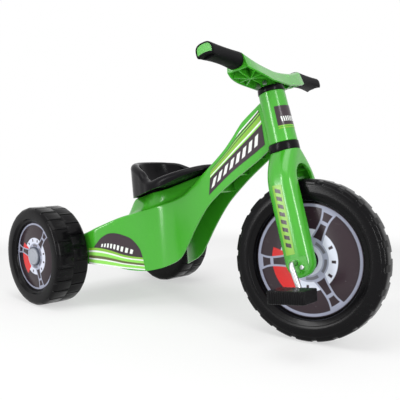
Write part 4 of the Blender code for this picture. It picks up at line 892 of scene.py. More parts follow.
def side_sticker(name, lower, middle, upper, sign, material):
    """A sticker on the body's side, between three guide curves of (share, height).

    Rows run from lower to middle for v under 0.5, then on to upper.
    """
    u = np.linspace(0, 1, 90)[:, None]
    v = np.linspace(0, 1, 25)[None, :]
    guides = []
    for table in (lower, middle, upper):
        share = table[0][0] + (table[-1][0] - table[0][0]) * u
        guides.append((share, curve(table, share)))
    low = np.clip(2 * v, 0, 1)
    high = np.clip(2 * v - 1, 0, 1)
    share, height = ((a + (b - a) * low) + (c - b) * high for a, b, c in zip(*guides))
    grids = [body_points(share, height, sign * (half_width(share) + proud))
             for proud in (0.00055, 0.00025)]
    laid_sticker(name, grids, IN_BODY, material, "frame")


# Lower, middle and upper guide curves of the stickers on the body's sides
BEAM_GUIDES = (
    ((0.6845, -0.0575), (0.8102, -0.0414), (0.9491, -0.0341)),
    ((0.7013, -0.0280), (0.8269, -0.0106), (0.9548, 0.0039)),
    ((0.7108, -0.0135), (0.7909, 0.0003), (0.8370, 0.0110), (0.9552, 0.0284)),
)
BEAM_LINE_GUIDES = (
    ((0.8400, 0.0132), (0.8600, 0.0166), (0.9517, 0.0283)),
    ((0.8400, 0.0133), (0.8600, 0.0177), (0.9525, 0.0295)),
    ((0.8400, 0.0134), (0.8600, 0.0188), (0.9532, 0.0307)),
)
WING_GUIDES = (
    ((0.1900, -0.0705), (0.3034, -0.1094), (0.3721, -0.1372)),
    ((0.1900, -0.0360), (0.2176, -0.0420), (0.2560, -0.0545), (0.2938, -0.0711), (0.3395, -0.0954),
     (0.3684, -0.1080)),
    ((0.1900, -0.0359), (0.2176, -0.0419), (0.2310, -0.0371), (0.2543, -0.0288),
     (0.2750, -0.0275), (0.2969, -0.0316), (0.3378, -0.0531), (0.3624, -0.0861),
     (0.3684, -0.1079)),
)


def seat_rim():
    """The rim loop, a Catmull-Rom curve through its corner points, at even steps of length."""
    left = np.array(SEAT_RIM)
    loop = np.vstack([left, left[-2:0:-1] * (1, -1, 1)])
    count = len(loop)
    lengths = np.linalg.norm(np.roll(loop, -1, axis=0) - loop, axis=1)
    along = np.concatenate([[0.0], np.cumsum(lengths)])
    at = np.arange(SEAT_COLUMNS) * along[-1] / SEAT_COLUMNS
    k = np.clip(np.searchsorted(along, at, side="right") - 1, 0, count - 1)
    t = ((at - along[k]) / lengths[k])[:, None]
    a, b, c, d = (loop[(k + n) % count] for n in (-1, 0, 1, 2))
    return 0.5 * ((2 * b) + (c - a) * t + (2 * a - 5 * b + 4 * c - d) * t ** 2
                  + (3 * b - a - 3 * c + d) * t ** 3)


def seat_moulding():
    """The bucket seat: pan height 4 mm + (rim - 4 mm) s^6 at share s, rolled rim and skirt."""
    rim = seat_rim()
    ahead = np.roll(rim, -1, axis=0) - np.roll(rim, 1, axis=0)
    out = np.stack([ahead[:, 1], -ahead[:, 0], 0.0 * ahead[:, 0]], -1)
    out /= np.linalg.norm(out, axis=1, keepdims=True)
    up = np.array((0.0, 0.0, 1.0))
    centre = np.array((SEAT_CENTRE, 0.0, 0.0))
    flat = rim * (1, 1, 0) - centre
    edge = curve(SEAT_SKIRT_EDGE, rim[:, 0])

    def bowl_row(share):
        height = SEAT_SHELL + (rim[:, 2] - SEAT_SHELL) * share ** SEAT_BOWL_POWER
        return centre + flat * share + height[:, None] * up

    def hem_row(reach):
        row = rim * (1, 1, 0) + reach * out + edge[:, None] * up
        row[:, 0] -= SEAT_SKIRT_LEAN * (rim[:, 2] - edge)
        return row

    shares = (0.10, 0.22, 0.34, 0.45, 0.54, 0.61, 0.67, 0.72, 0.76, 0.79, 0.82, 0.845)
    rows = [bowl_row(share) for share in shares]
    roll = rim + (SEAT_LIP - SEAT_ROLL_REACH) * out + (SEAT_ROLL_LIFT - SEAT_ROLL_RISE) * up
    rolled = [roll + SEAT_ROLL_REACH * math.cos(a) * out + SEAT_ROLL_RISE * math.sin(a) * up
              for a in np.radians(np.linspace(150, 4, 19))]
    tall = np.clip((rim[:, 2] - SEAT_BACK_START) / SEAT_BACK_FADE, 0, 1)[:, None]
    start = rows[-1]
    shell = []
    for t in (0.16, 0.32, 0.48, 0.64, 0.78, 0.90):
        bulge = SEAT_BACK_BULGE * math.sin(math.pi * t) * tall
        shell.append(start + t * (rolled[0] - start) + bulge * out)
    top = roll + SEAT_ROLL_REACH * out - 0.0006 * up
    foot = hem_row(SEAT_LIP)
    shell += rolled + [top + t * (foot - top) for t in (0.0, 0.08, 0.3, 0.55, 0.8, 0.97)]
    for row in shell:
        row[:, 2] = np.maximum(row[:, 2], edge + SEAT_EDGE_ROOM)

    inside = SEAT_LIP - SEAT_SHELL
    drop = np.minimum(SEAT_LIP_DROP, 0.8 * (rim[:, 2] - edge))
    rows += shell + [foot, hem_row(inside), rim + inside * out - drop[:, None] * up]
    for share in (0.93, 0.86, 0.78, 0.70, 0.62, 0.45):
        below = bowl_row(share) + out * SEAT_SHELL * smooth_step((share - 0.5) / 0.4)
        below[:, 2] = np.maximum(0.0, below[:, 2] - SEAT_SHELL)
        rows.append(below)
    return [skin(np.array(rows), caps=(0, -1))]


def fork_half_width(height):
    """Half the fork's width: its legs', then r + (leg - r)(1 - t^2.1) up to the crown."""
    t = np.clip((height - SHOULDER_HEIGHT) / (FORK_TOP - SHOULDER_HEIGHT), 0, 1)
    wide = CROWN_RADIUS + (LEG_OUTER - CROWN_RADIUS) * (1 - t ** 2.1)
    low = np.clip(LEG_TOE - (height + LEG_DEPTH / 2), 0, LEG_TOE)
    return wide - (LEG_TOE - np.sqrt(LEG_TOE ** 2 - low ** 2))


def fork_outlines():
    """The fork's arch and its outline as (y, z), from the right toe over the top to the left."""
    toe = -0.5 * LEG_DEPTH * np.cos(np.radians(np.linspace(2, 90, 16)))
    leg = np.concatenate([toe, np.linspace(0, ARCH_TOP - ARCH_DEPTH, 22)[1:]])
    a = np.radians(np.linspace(0, 90, 30)[1:])
    arch = np.stack([-LEG_INNER * np.cos(a), ARCH_TOP - ARCH_DEPTH + ARCH_DEPTH * np.sin(a)], -1)
    rise = np.linspace(ARCH_TOP - ARCH_DEPTH, FORK_TOP, 60)
    crown = np.vstack([np.stack([-fork_half_width(rise), rise], -1), [(0.0, FORK_TOP)]])
    inner = np.vstack([np.stack([np.full_like(leg, -LEG_INNER), leg], -1), arch])
    outer = np.vstack([np.stack([-fork_half_width(leg), leg], -1), spaced(crown, a / a[-1])])
    return [np.vstack([line, line[-2::-1] * (-1, 1)]) for line in (inner, outer)]


def fork_moulding():
    """The fork: rings across a U between its arch and its outline, rounded along both.

    Half the depth at (y, z) is d - c + sqrt(c^2 - (|y| - w + c)^2), with d, w and c the half
    depth, half width and corner radius at that height. The arch is hollowed between ribs.
    """
    half_depth = LEG_DEPTH / 2
    inner, outer = fork_outlines()
    span = np.linalg.norm(outer - inner, axis=1)[:, None]
    near = np.array((0.0, 0.12, 0.3, 0.6, 1.0)) * ARCH_EDGE / span
    bend = LEG_CORNER * (1 - np.cos(np.radians(np.linspace(90, 0, 9)))) / span
    across = np.concatenate([near, 0.5 * (near[:, -1:] + 1 - bend[:, :1]), 1 - bend], axis=1)
    spots = inner[:, None, :] + (outer - inner)[:, None, :] * across[..., None]
    y, z = spots[..., 0], spots[..., 1]
    t = smooth_step((z - SHOULDER_HEIGHT) / (FORK_TOP - SHOULDER_HEIGHT))
    depth = half_depth + (CROWN_RADIUS - half_depth) * t
    depth = np.where(z < 0, np.sqrt(np.maximum(half_depth ** 2 - z ** 2, 1e-8)), depth)
    corner = np.minimum(LEG_CORNER + (FORK_ROUNDNESS * CROWN_RADIUS - LEG_CORNER) * t,
                        FORK_ROUNDNESS * depth)
    into = np.clip(np.abs(y) - fork_half_width(z) + corner, 0, corner)
    depth = depth - corner + np.sqrt(np.maximum(corner ** 2 - into ** 2, 0))
    close = np.clip(ARCH_EDGE - across * span, 0, ARCH_EDGE)
    depth = depth - (ARCH_EDGE - np.sqrt(ARCH_EDGE ** 2 - close ** 2))
    depth = np.maximum(depth, 0.0004)
    side = np.stack([depth, y, z], -1)
    over = np.array((0.86, 0.84, 0.0, -0.84, -0.86))[None, :, None] * (1, 0, 0)
    lid = side[:, -1:] * (0, 1, 1) + side[:, -1:, :1] * over
    hollow = ARCH_HOLLOW * smooth_step((inner[:, 1] - ARCH_HOLLOW_START) / ARCH_HOLLOW_FADE)
    hollow[::ARCH_RIB_STEP] = 0.0
    into = np.array((0.0, 1.0, 1.0, 1.0, 0.0))[None, :, None] * hollow[:, None, None]
    away = (outer - inner) / span
    sole = side[:, :1] * (0, 1, 1) - side[:, :1, :1] * over
    sole[..., 1:] += into * away[:, None, :]
    rings = np.concatenate([side, lid, side[:, ::-1] * (-1, 1, 1), sole], axis=1)
    return [skin(rings, caps=(0, -1))]


def bar_corners(out):
    """The bar's section corners (x, z) at distances out from its middle."""
    return np.stack([np.stack([curve(xs, out), curve(zs, out)], -1)
                     for xs, zs in BAR_CORNERS.values()], axis=-2)


def bar_roof(x, y):
    """Height of the bar's outside over (x, y): its corners' heights joined by straight lines."""
    corners = bar_corners(np.abs(y))
    height = corners[..., 0, 1]
    for k in range(4):
        ahead, back = corners[..., k, :], corners[..., k + 1, :]
        share = np.clip((ahead[..., 0] - x) / (ahead[..., 0] - back[..., 0]), 0, 1)
        height = height + share * (back[..., 1] - ahead[..., 1])
    return height


def oval(out, depth, sole=1.0):
    """The grip's outline: |x/a|^n + |z/b|^n = 1 with n = 2.7, waisted by sin(pi t) halfway.

    Its underside is cut off at z = -b (sole + 0.2 (x/a)^2).
    """
    along = np.clip((out - BAR_END) / (GRIP_OUTER_END - BAR_END), 0, 1)
    waist = GRIP_WAIST * np.sin(math.pi * along)
    wide = (GRIP_HALF_DEPTH - 0.5 * waist - depth)[:, None]
    tall = (GRIP_HALF_HEIGHT - waist - depth)[:, None]
    a = even_turn(72)[None, :]
    power = 2 / 2.7
    x = wide * np.sign(np.cos(a)) * np.abs(np.cos(a)) ** power
    z = tall * np.sign(np.sin(a)) * np.abs(np.sin(a)) ** power
    z = np.maximum(z, -tall * (np.reshape(sole, (-1, 1)) + 0.2 * (x / wide) ** 2))
    return np.stack(np.broadcast_arrays(x, out[:, None], BAR_MIDDLE + 0.6 * waist[:, None] + z), -1)


def bar_rib(sign, angle):
    """One rib of the star under the bar's side, from the line between its lips to its roof."""
    turn = math.radians(angle)
    reach = min(BAR_RIB_REACH, BAR_RIB_SIDE_REACH / max(abs(math.cos(turn)), 0.01))
    t = np.linspace(-reach, reach, 40)
    x = t * math.cos(turn)
    y = sign * (BAR_STAR + t * math.sin(turn))
    lips = bar_corners(np.abs(y))[:, (0, -1)]
    share = (lips[:, 0, 0] - x) / (lips[:, 0, 0] - lips[:, 1, 0])
    low = lips[:, 0, 1] + share * (lips[:, 1, 1] - lips[:, 0, 1]) + 0.0008
    roof = np.maximum(bar_roof(x, y) - 0.6 * BAR_WALL, low + 0.0002)
    rib = np.stack([np.stack([x, y, low], -1), np.stack([x, y, roof], -1)], axis=1)
    return slab(rib, BAR_RIB, (-math.sin(turn), sign * math.cos(turn), 0))


def grip_core(sign):
    """The bar's core inside a grip, cut to a half moon at the grip's open end."""
    step = GRIP_OUTER_END - GRIP_RECESS
    ends = np.array((BAR_END - 0.004, 0.125, 0.14, 0.155, 0.17, 0.185, step - 0.0006, step,
                     GRIP_OUTER_END - 0.0016))
    soles = np.array((1, 1, 1, 1, 1, 1, 1, GRIP_SOLE, GRIP_SOLE))
    core = oval(ends, GRIP_CORE_INSET + STEP_GAP, soles) * (1, sign, 1)
    return skin(core, caps=(0, -1))


def handlebar_moulding():
    """The gull-wing bar: a channel open below, end walls, star ribs, stem boss and grip cores."""
    out = np.linspace(-BAR_END + STEP_GAP, BAR_END - STEP_GAP, 93)
    radii = np.array((0.0055, 0.0120, 0.0080))[:, None]
    outline = softened(bar_corners(np.abs(out)), radii, 6)

    def upright(section):
        y = np.broadcast_to(out[:, None], section.shape[:2])
        return np.stack([section[..., 0], y, section[..., 1]], -1)

    plug = upright(inset(outline, 0.4 * BAR_WALL))
    parts = [walled(upright(outline), upright(inset(outline, BAR_WALL))),
             skin(plug[:2], caps=(0, -1)), skin(plug[-2:], caps=(0, -1))]
    for sign in (-1, 1):
        parts += [bar_rib(sign, angle) for angle in BAR_RIB_ANGLES]
        parts.append(grip_core(sign))
    low = COLLAR_TOP + STEP_GAP
    roof = BAR_TOP - 0.5 * BAR_WALL
    boss = ((STEM_RADIUS, low), (BAR_BOSS_RADIUS, low), (BAR_BOSS_RADIUS, roof), (STEM_RADIUS, roof))
    parts.append(upright_ring(boss, 48))
    return parts


def grip_sleeve(sign):
    """A waisted sleeve: rings of the oval along its outside, round its lip and back inside."""
    near = BAR_END + STEP_GAP
    far = GRIP_OUTER_END
    step = far - GRIP_RECESS
    steps = [(near, 0.0018, 1.0), (near + 0.0006, 0.0005, 1.0), (near + 0.0018, 0.0, 1.0)]
    for y in np.linspace(near + 0.006, far - 0.004, 18):
        hollow = smooth_step((y - near) / (far - near))
        steps.append((y, 0.0, 1.0 - GRIP_CUT * hollow))
    steps += [(far - 0.0012, 0.0002, 0.46), (far - 0.0003, 0.0008, 0.45), (far, 0.0014, 0.40),
              (far - 0.0004, 0.0020, GRIP_SOLE), (far - 0.0012, GRIP_CORE_INSET, GRIP_SOLE),
              (step + 0.0004, GRIP_CORE_INSET, GRIP_SOLE), (step + 0.0002, GRIP_CORE_INSET, 1.0),
              (near, GRIP_CORE_INSET, 1.0)]
    out, depth, sole = np.array(steps).T
    rings = oval(out, depth, sole) * (1, sign, 1)
    return [skin(rings, along=True)]


def band(radii, low, high, inner):
    """A black band about the head axis with a soft edge at both ends."""
    bottom, top = radii
    edge = 0.0012
    outline = ((inner, low), (bottom - edge, low), (bottom - 0.3 * edge, low + 0.3 * edge),
               (bottom, low + edge), (top, high - edge), (top - 0.3 * edge, high - 0.3 * edge),
               (top - edge, high), (inner, high))
    return [upright_ring(outline, 96)]


def pulse(angles, pitch, half, soft, start=0.0):
    """1 within a half width of each multiple of a pitch, 0 beyond it."""
    off = np.abs((angles - start + 0.5 * pitch) % pitch - 0.5 * pitch)
    return np.clip((half - off) / soft + 0.5, 0, 1)


def front_tyre():
    """The front wheel: a turned profile whose shoulders are notched in turn left and right."""
    half = np.array(FRONT_TYRE)
    outline = np.vstack([half * (1, -1), half[::-1]])
    pitch = math.tau / FRONT_LUGS
    steps = np.radians((-2.4, -1.9, 1.9, 2.4, 3.4, 4.8))
    angles = (np.arange(2 * FRONT_LUGS)[:, None] * 0.5 * pitch + steps).ravel()
    dents = 0.0
    for sign, start in ((-1, 0.0), (1, 0.5 * pitch)):
        shoulder = smooth_step((outline[:, 0] - FRONT_LUG_START) / FRONT_LUG_FADE)
        shoulder = shoulder * smooth_step((sign * outline[:, 1] - 0.0010) / 0.0080)
        notch = pulse(angles, pitch, FRONT_NOTCH_HALF, FRONT_NOTCH_EDGE, start)
        dents = dents + FRONT_LUG_DEPTH * notch[:, None] * shoulder
    return [turned(outline, angles, dents)]


def rear_tyre(sign):
    """A rear wheel: flat wide tread in two staggered rows of blocks, and a stepped recess.

    A block is flatter than the tread's circle by a share of r (1 - cos(half) / cos(a)).
    """
    outer, inner, r = REAR_OUTER_FACE, REAR_INNER_FACE, REAR_TREAD_RADIUS
    outline = np.array((
        (0.0070, REAR_WEB), (0.0771, REAR_WEB), (0.0780, REAR_WEB + 0.0008),
        (0.0790, outer - 0.0072), (0.0800, outer - 0.0062), (0.0826, outer - 0.0058),
        (0.0836, outer - 0.0050), (0.0848, outer - 0.0012), (0.0858, outer - 0.0002),
        (0.0872, outer), (0.0960, outer - 0.0001), (0.1030, outer - 0.0004),
        (0.1058, outer - 0.0013), (0.1082, outer - 0.0034), (r - 0.0008, outer - 0.0062),
        (r, outer - 0.0090), (r, REAR_MIDDLE + 0.0018), (r - 0.0009, REAR_MIDDLE + 0.0010),
        (r - 0.0009, REAR_MIDDLE - 0.0010), (r, REAR_MIDDLE - 0.0018), (r, inner + 0.0090),
        (r - 0.0008, inner + 0.0062), (0.1082, inner + 0.0034), (0.1058, inner + 0.0013),
        (0.1030, inner + 0.0004), (0.0960, inner), (0.0300, inner), (0.0070, inner)))
    pitch = math.tau / REAR_GROOVES
    steps = np.radians((-0.85, -0.50, 0.50, 0.85, 2.2, 3.75, 5.3))
    angles = (np.arange(2 * REAR_GROOVES)[:, None] * 0.5 * pitch + steps).ravel()
    dents = 0.0
    for side, start in ((-1, 0.0), (1, 0.5 * pitch)):
        out = side * (outline[:, 1] - REAR_MIDDLE)
        tread = smooth_step((outline[:, 0] - r + 0.0070) / 0.0040) * (out > 0.0014)
        groove = pulse(angles, pitch, REAR_GROOVE_HALF, REAR_GROOVE_EDGE, start)
        half = REAR_BLOCK_HALF * pitch
        off = np.minimum(np.abs((angles - start) % pitch - 0.5 * pitch), half)
        sag = r * (1 - math.cos(half) / np.cos(off))
        depth = REAR_GROOVE_DEPTH * groove + REAR_FLATNESS * np.maximum(sag, 0.0)
        dents = dents + depth[:, None] * tread
    return [turned(mirrored(outline, sign), angles, dents)]


def printed_disc(name, radius, bore, face, sign, place, body, angle):
    """A printed disc lying on a wheel's web.

    Its chart is forward and up over the radius, turned back by the angle the wheel stands at.
    """
    low = face + STEP_GAP
    top = low + DISC_THICK
    outline = ((bore, low), (bore, top), (0.5 * radius, top), (radius - 0.0008, top),
               (radius, top - 0.0005), (radius, low))
    spots, faces = turned(mirrored(outline, sign), even_turn(120))
    x = spots[:, 0] * math.cos(angle) + spots[:, 2] * math.sin(angle)
    z = -spots[:, 0] * math.sin(angle) + spots[:, 2] * math.cos(angle)
    piece(f"{name}_print", [(spots, faces)], place, WHEEL_PRINT, body, (f"{name}_disc",),
          np.stack([-sign * x, z], -1) / radius)


def drive_hub(sign):
    """A hub over the front disc, fluted round its waist, with a bore for the crank."""
    start = DRIVE_HUB_BASE
    end = start + DRIVE_HUB_THICK
    wide = DRIVE_HUB_RADIUS
    outline = np.array((
        (DRIVE_HUB_BORE, start), (wide, start), (wide, start + 0.0025), (wide - 0.0010, start + 0.0031),
        (wide - 0.0016, end - 0.0040), (wide - 0.0030, end - 0.0010), (wide - 0.0045, end),
        (wide - 0.0075, end), (wide - 0.0082, end - 0.0012), (0.0095, end - 0.0012),
        (0.0088, end), (DRIVE_HUB_BORE, end)))
    angles = even_turn(144)
    waist = (outline[:, 1] > start + 0.0028) * (outline[:, 0] > wide - 0.0040)
    flutes = 0.0009 * (0.5 - 0.5 * np.cos(18 * angles))
    return [turned(mirrored(outline, sign), angles, flutes[:, None] * waist)]


def drive_lug(sign):
    """A flat lug on the crank that keys into a drive hub, in four levels of its outline."""
    far = DRIVE_HUB_BASE + DRIVE_HUB_THICK - STEP_GAP
    near = far - DRIVE_LUG_DEPTH
    x = DRIVE_LUG_REACH
    outline = np.array(((-x, near), (-x, far), (x, far), (x, near)))
    flat = softened(np.vstack([outline, outline[:2]]), np.full((4, 1), 0.0008), 3)[1:-1]
    sheet = np.stack([flat[:, 0], sign * flat[:, 1], 0.0 * flat[:, 0]], -1)
    levels = np.array((-0.5, -0.42, 0.42, 0.5)) * DRIVE_LUG_THICK
    scale = np.array((0.96, 1.0, 1.0, 0.96))[:, None, None]
    middle = np.array((0.0, sign * 0.5 * (near + far), 0.0))
    rings = middle + (sheet - middle)[None] * scale + levels[:, None, None] * (0, 0, 1)
    return skin(rings, caps=(0, -1))


def crank_rod():
    """The bent rod, a circle carried along its centre line, and two flat drive lugs."""
    corners = np.array(((-CRANK_TIP, -CRANK_THROW), (-CRANK_PLANE, -CRANK_THROW),
                        (-CRANK_PLANE, 0.0), (CRANK_PLANE, 0.0), (CRANK_PLANE, CRANK_THROW),
                        (CRANK_TIP, CRANK_THROW)))
    path = softened(corners, np.full((4, 1), CRANK_BEND), 14)
    ahead = np.gradient(path, axis=0)
    ahead /= np.linalg.norm(ahead, axis=1, keepdims=True)
    a = even_turn(28)[None, :]
    y = path[:, :1] - CRANK_RADIUS * np.sin(a) * ahead[:, 1:]
    z = path[:, 1:] + CRANK_RADIUS * np.sin(a) * ahead[:, :1]
    rings = np.stack(np.broadcast_arrays(CRANK_RADIUS * np.cos(a), y, z), -1)
    return [skin(rings, caps=(0, -1)), drive_lug(-1), drive_lug(1)]


def pedal_bar(sign, level, middle):
    """A low bar across a pedal's top or bottom, sloped at its sides and ends."""
    top = level * (PEDAL_HALF_THICK + PEDAL_BAR_HEIGHT)
    low = level * (PEDAL_HALF_THICK - PEDAL_BAR_ROOT)
    outline = np.array(((middle - 0.0016, low), (middle - 0.0011, top), (middle + 0.0011, top),
                        (middle + 0.0016, low)))
    ends = sign * np.array((PEDAL_NEAR + 0.0050, PEDAL_NEAR + 0.0056, PEDAL_FAR - 0.0056,
                            PEDAL_FAR - 0.0050))
    rings = np.stack(np.broadcast_arrays(outline[None, :, 0], ends[:, None], outline[None, :, 1]),
                     -1).copy()
    rings[(0, -1), 1:3, 2] += low - top
    return skin(rings, caps=(0, -1))


def pedal_block(sign):
    """A pedal: a round-cornered block with upright flutes, and bars along its top and bottom.

    Its plan is softened at the corners and pulled in by d (1 - |cos(n s)|) round three sides.
    """
    x, near, far = PEDAL_HALF_LENGTH, PEDAL_NEAR, PEDAL_FAR
    corners = np.array(((0.0, near), (-x, near), (-x, far), (x, far), (x, near), (0.0, near)))
    plan = softened(corners, np.array(((0.004,), (PEDAL_CORNER,), (PEDAL_CORNER,), (0.004,))), 10)
    share = np.arange(8 * PEDAL_FLUTES) / (8 * PEDAL_FLUTES)
    plan = spaced(plan, share)
    ahead = np.roll(plan, -1, axis=0) - np.roll(plan, 1, axis=0)
    ahead /= np.linalg.norm(ahead, axis=1, keepdims=True)
    normal = np.stack([-ahead[:, 1], ahead[:, 0]], -1)
    normal *= np.sign(np.sum(normal * (plan - (0, 0.5 * (near + far)))))
    wave = np.abs(np.cos(math.pi * PEDAL_FLUTES * share)) ** 0.7
    fluted = smooth_step((plan[:, 1] - near - 0.0015) / 0.0025)
    plan = plan - (PEDAL_FLUTE_DEPTH * (1 - wave) * fluted)[:, None] * normal
    a = np.radians(np.linspace(0, 90, 6))
    heights = PEDAL_HALF_THICK - PEDAL_EDGE * (1 - np.sin(a))
    insets = PEDAL_EDGE * (1 - np.cos(a))
    rings = plan - normal * insets[::-1, None, None]
    upper = np.stack(np.broadcast_arrays(rings[..., 0], sign * rings[..., 1],
                                         heights[::-1, None]), -1)
    lower = upper[::-1] * (1, 1, -1)
    parts = [skin(np.concatenate([upper, lower]), caps=(0, -1))]
    for level in (-1, 1):
        for number in range(PEDAL_BARS):
            middle = PEDAL_BAR_PITCH * (number - 0.5 * (PEDAL_BARS - 1))
            parts.append(pedal_bar(sign, level, middle))
    return parts


def hub_cap(sign):
    """A stepped round cap over the axle's end."""
    base = HUB_CAP_BASE
    top = base + HUB_CAP_HEIGHT
    wide = HUB_CAP_RADIUS
    outline = ((wide - 0.0005, base), (wide, base + 0.0005), (wide, top - 0.0026),
               (wide - 0.0004, top - 0.0016), (wide - 0.0014, top - 0.0009),
               (wide - 0.0040, top - 0.0006), (wide - 0.0052, top - 0.0012),
               (wide - 0.0060, top - 0.0012), (wide - 0.0070, top - 0.0002),
               (0.0060, top), (0.0030, top))
    return [lathe(mirrored(outline, sign), 72)]


def cap_ring(sign):
    """The darker ring that the cap stands in."""
    base = HUB_CAP_BASE
    wide = HUB_CAP_RADIUS
    outline = ((wide + 0.0001, base), (wide + 0.0001, base + 0.0030), (wide + 0.0008, base + 0.0036),
               (wide + 0.0022, base + 0.0034), (wide + 0.0030, base + 0.0024),
               (wide + 0.0032, base))
    return [turned(mirrored(outline, sign), even_turn(72))]


GREEN_PLASTIC = moulded("green_plastic", GREEN, 0.20, 1100.0, 0.000004, 0.12, 0.01, specular=0.62)
SEAT_PLASTIC = moulded("seat_plastic", SEAT_BLACK, 0.25, 900.0, 0.000008, 0.20, 0.01, specular=0.10)
BLACK_PLASTIC = moulded("black_plastic", BLACK, 0.24, 800.0, 0.000010, 0.20, 0.01, specular=0.11)
TYRE_PLASTIC = moulded("tyre_plastic", TYRE_BLACK, 0.20, 700.0, 0.000010, 0.25, 0.02, specular=0.12)
GRIP_RUBBER = moulded("grip_rubber", GRIP_BLACK, 0.50, 600.0, 0.00008, 0.25, 0.02, specular=0.06)
ZINC_STEEL = moulded("zinc_steel", STEEL, 0.30, 1500.0, 0.00003, 0.20, 0.0, metallic=1.0)
CAP_PLASTIC = moulded("hub_cap_plastic", CAP_GREY, 0.34, 900.0, 0.00004, 0.15, 0.05)
CAP_RING_PLASTIC = moulded("hub_ring_plastic", CAP_RING, 0.36, 900.0, 0.00004, 0.15, 0.05)
BEAM_STICKER = sticker(
    "beam_sticker", ((0.50, STICKER_GREEN), (0.56, STICKER_WHITE), (0.63, STICKER_LIME),
                     (0.84, STICKER_DARK), (0.89, STICKER_GREEN), (0.945, STICKER_DARK)),
    STICKER_WHITE, 9.0, -1.4, (0.13, 0.37), (0.035, 0.925))
BEAM_LINE_STICKER = sticker("beam_line_sticker", ((0.0, STICKER_WHITE),))
WING_STICKER = sticker(
    "wing_sticker", ((0.0, STICKER_WHITE), (0.05, STICKER_GREEN), (0.15, STICKER_WHITE),
                     (0.19, STICKER_OLIVE), (0.27, STICKER_GREEN), (0.37, STICKER_WHITE),
                     (0.42, STICKER_LIME), (0.50, STICKER_DARK)),
    STICKER_WHITE, 16.0, -2.0, (0.57, 0.70), (0.325, 0.888))
HEAD_STICKER = sticker(
    "head_sticker", ((0.0, STICKER_LIME), (0.05, GREEN), (0.09, STICKER_LIME),
                     (0.14, STICKER_DARK)),
    STICKER_WHITE, 12.0, 0.8, (0.30, 0.52), (0.145, 0.880))
LEG_STICKER = sticker("leg_sticker", ((0.0, STICKER_LIME),), STICKER_DARK, 9.0, 0.5,
                      (0.22, 0.80), (0.080, 0.965))
WHEEL_PRINT = wheel_print("wheel_print")

piece("body_moulding", body_moulding(), IN_BODY, GREEN_PLASTIC, "frame", ("body_shell",))
piece("seat_moulding", seat_moulding(), IN_SEAT, SEAT_PLASTIC, "frame", ("seat",))
piece("lower_head_band", band((LOWER_BAND_RADIUS, LOWER_BAND_RADIUS), BAND_BOTTOM,
                              HEAD_BOTTOM - STEP_GAP, STEM_RADIUS + 0.0002),
      IN_HEAD, BLACK_PLASTIC, "frame", ("lower_head_bush",))
piece("upper_head_band", band((UPPER_BAND_RADIUS, UPPER_BAND_RADIUS - 0.0010),
                              HEAD_TOP + STEP_GAP, COLLAR_TOP, STEM_RADIUS + 0.0002),
      IN_HEAD, BLACK_PLASTIC, "frame", ("upper_head_bush",))
piece("fork_moulding", fork_moulding(), IN_STEERING, GREEN_PLASTIC, "steering", ("fork",))
piece("handlebar_moulding", handlebar_moulding(), IN_STEERING, GREEN_PLASTIC, "steering",
      ("handlebar",))
piece("front_tyre", front_tyre(), IN_CRANK, TYRE_PLASTIC, "front_wheel_set", ("front_wheel",))
piece("crank_rod", crank_rod(), IN_CRANK, ZINC_STEEL, "front_wheel_set", ("crank",))

for side, sign in (("right", -1), ("left", 1)):
    piece(f"{side}_grip_sleeve", grip_sleeve(sign), IN_STEERING, GRIP_RUBBER, "steering",
          (f"{side}_grip",))
    side_sticker(f"{side}_beam_sticker", *BEAM_GUIDES, sign, BEAM_STICKER)
    side_sticker(f"{side}_beam_line", *BEAM_LINE_GUIDES, sign, BEAM_LINE_STICKER)
    side_sticker(f"{side}_wing_sticker", *WING_GUIDES, sign, WING_STICKER)

    printed_disc(f"front_{side}", FRONT_DISC_RADIUS, FRONT_DISC_BORE, FRONT_WEB_HALF, sign,
                 IN_CRANK, "front_wheel_set", CRANK_ANGLE)
    piece(f"front_{side}_hub", drive_hub(sign), IN_CRANK, BLACK_PLASTIC, "front_wheel_set",
          (f"front_{side}_drive_hub",))
    at_pin = (IN_CRANK @ shifted(0, 0, sign * CRANK_THROW)
              @ rotation(HEAD_TILT - PEDAL_NOSE_UP - CRANK_ANGLE, "Y"))
    piece(f"{side}_pedal_block", pedal_block(sign), at_pin, BLACK_PLASTIC, f"{side}_pedal_set",
          (f"{side}_pedal", f"{side}_pedal_cap"))

    wheel_set = f"rear_{side}_wheel_set"
    piece(f"rear_{side}_tyre", rear_tyre(sign), AT_REAR_AXLE, TYRE_PLASTIC, wheel_set,
          (f"rear_{side}_wheel",))
    printed_disc(f"rear_{side}", REAR_DISC_RADIUS, REAR_DISC_BORE, REAR_WEB, sign, AT_REAR_AXLE,
                 wheel_set, 0.0)
    piece(f"rear_{side}_cap", hub_cap(sign), AT_REAR_AXLE, CAP_PLASTIC, wheel_set,
          (f"rear_{side}_hub_cap",))
    piece(f"rear_{side}_cap_ring", cap_ring(sign), AT_REAR_AXLE, CAP_RING_PLASTIC, wheel_set, ())


def leg_sticker(side, sign):
    """A leaning strip on a fork leg's outer face, between two slanted edges in (x, z)."""
    u = np.linspace(0, 1, 30)[:, None]
    v = np.linspace(0, 1, 9)[None, :]
    x = LEG_STICKER_BACK + LEG_STICKER_LEAN * u + (LEG_STICKER_WIDTH - LEG_STICKER_TAPER * u) * v
    z = LEG_STICKER_LOW + (LEG_STICKER_HIGH - LEG_STICKER_LOW) * u - LEG_STICKER_SLANT * u * v
    into = np.clip(np.abs(x) - LEG_DEPTH / 2 + LEG_CORNER, 0, LEG_CORNER)
    wide = fork_half_width(z) - LEG_CORNER + np.sqrt(LEG_CORNER ** 2 - into ** 2)
    grids = [np.stack(np.broadcast_arrays(x, sign * (wide + proud), z), -1)
             for proud in (0.0006, 0.0002)]
    laid_sticker(f"{side}_leg_sticker", grids, IN_STEERING, LEG_STICKER, "steering")


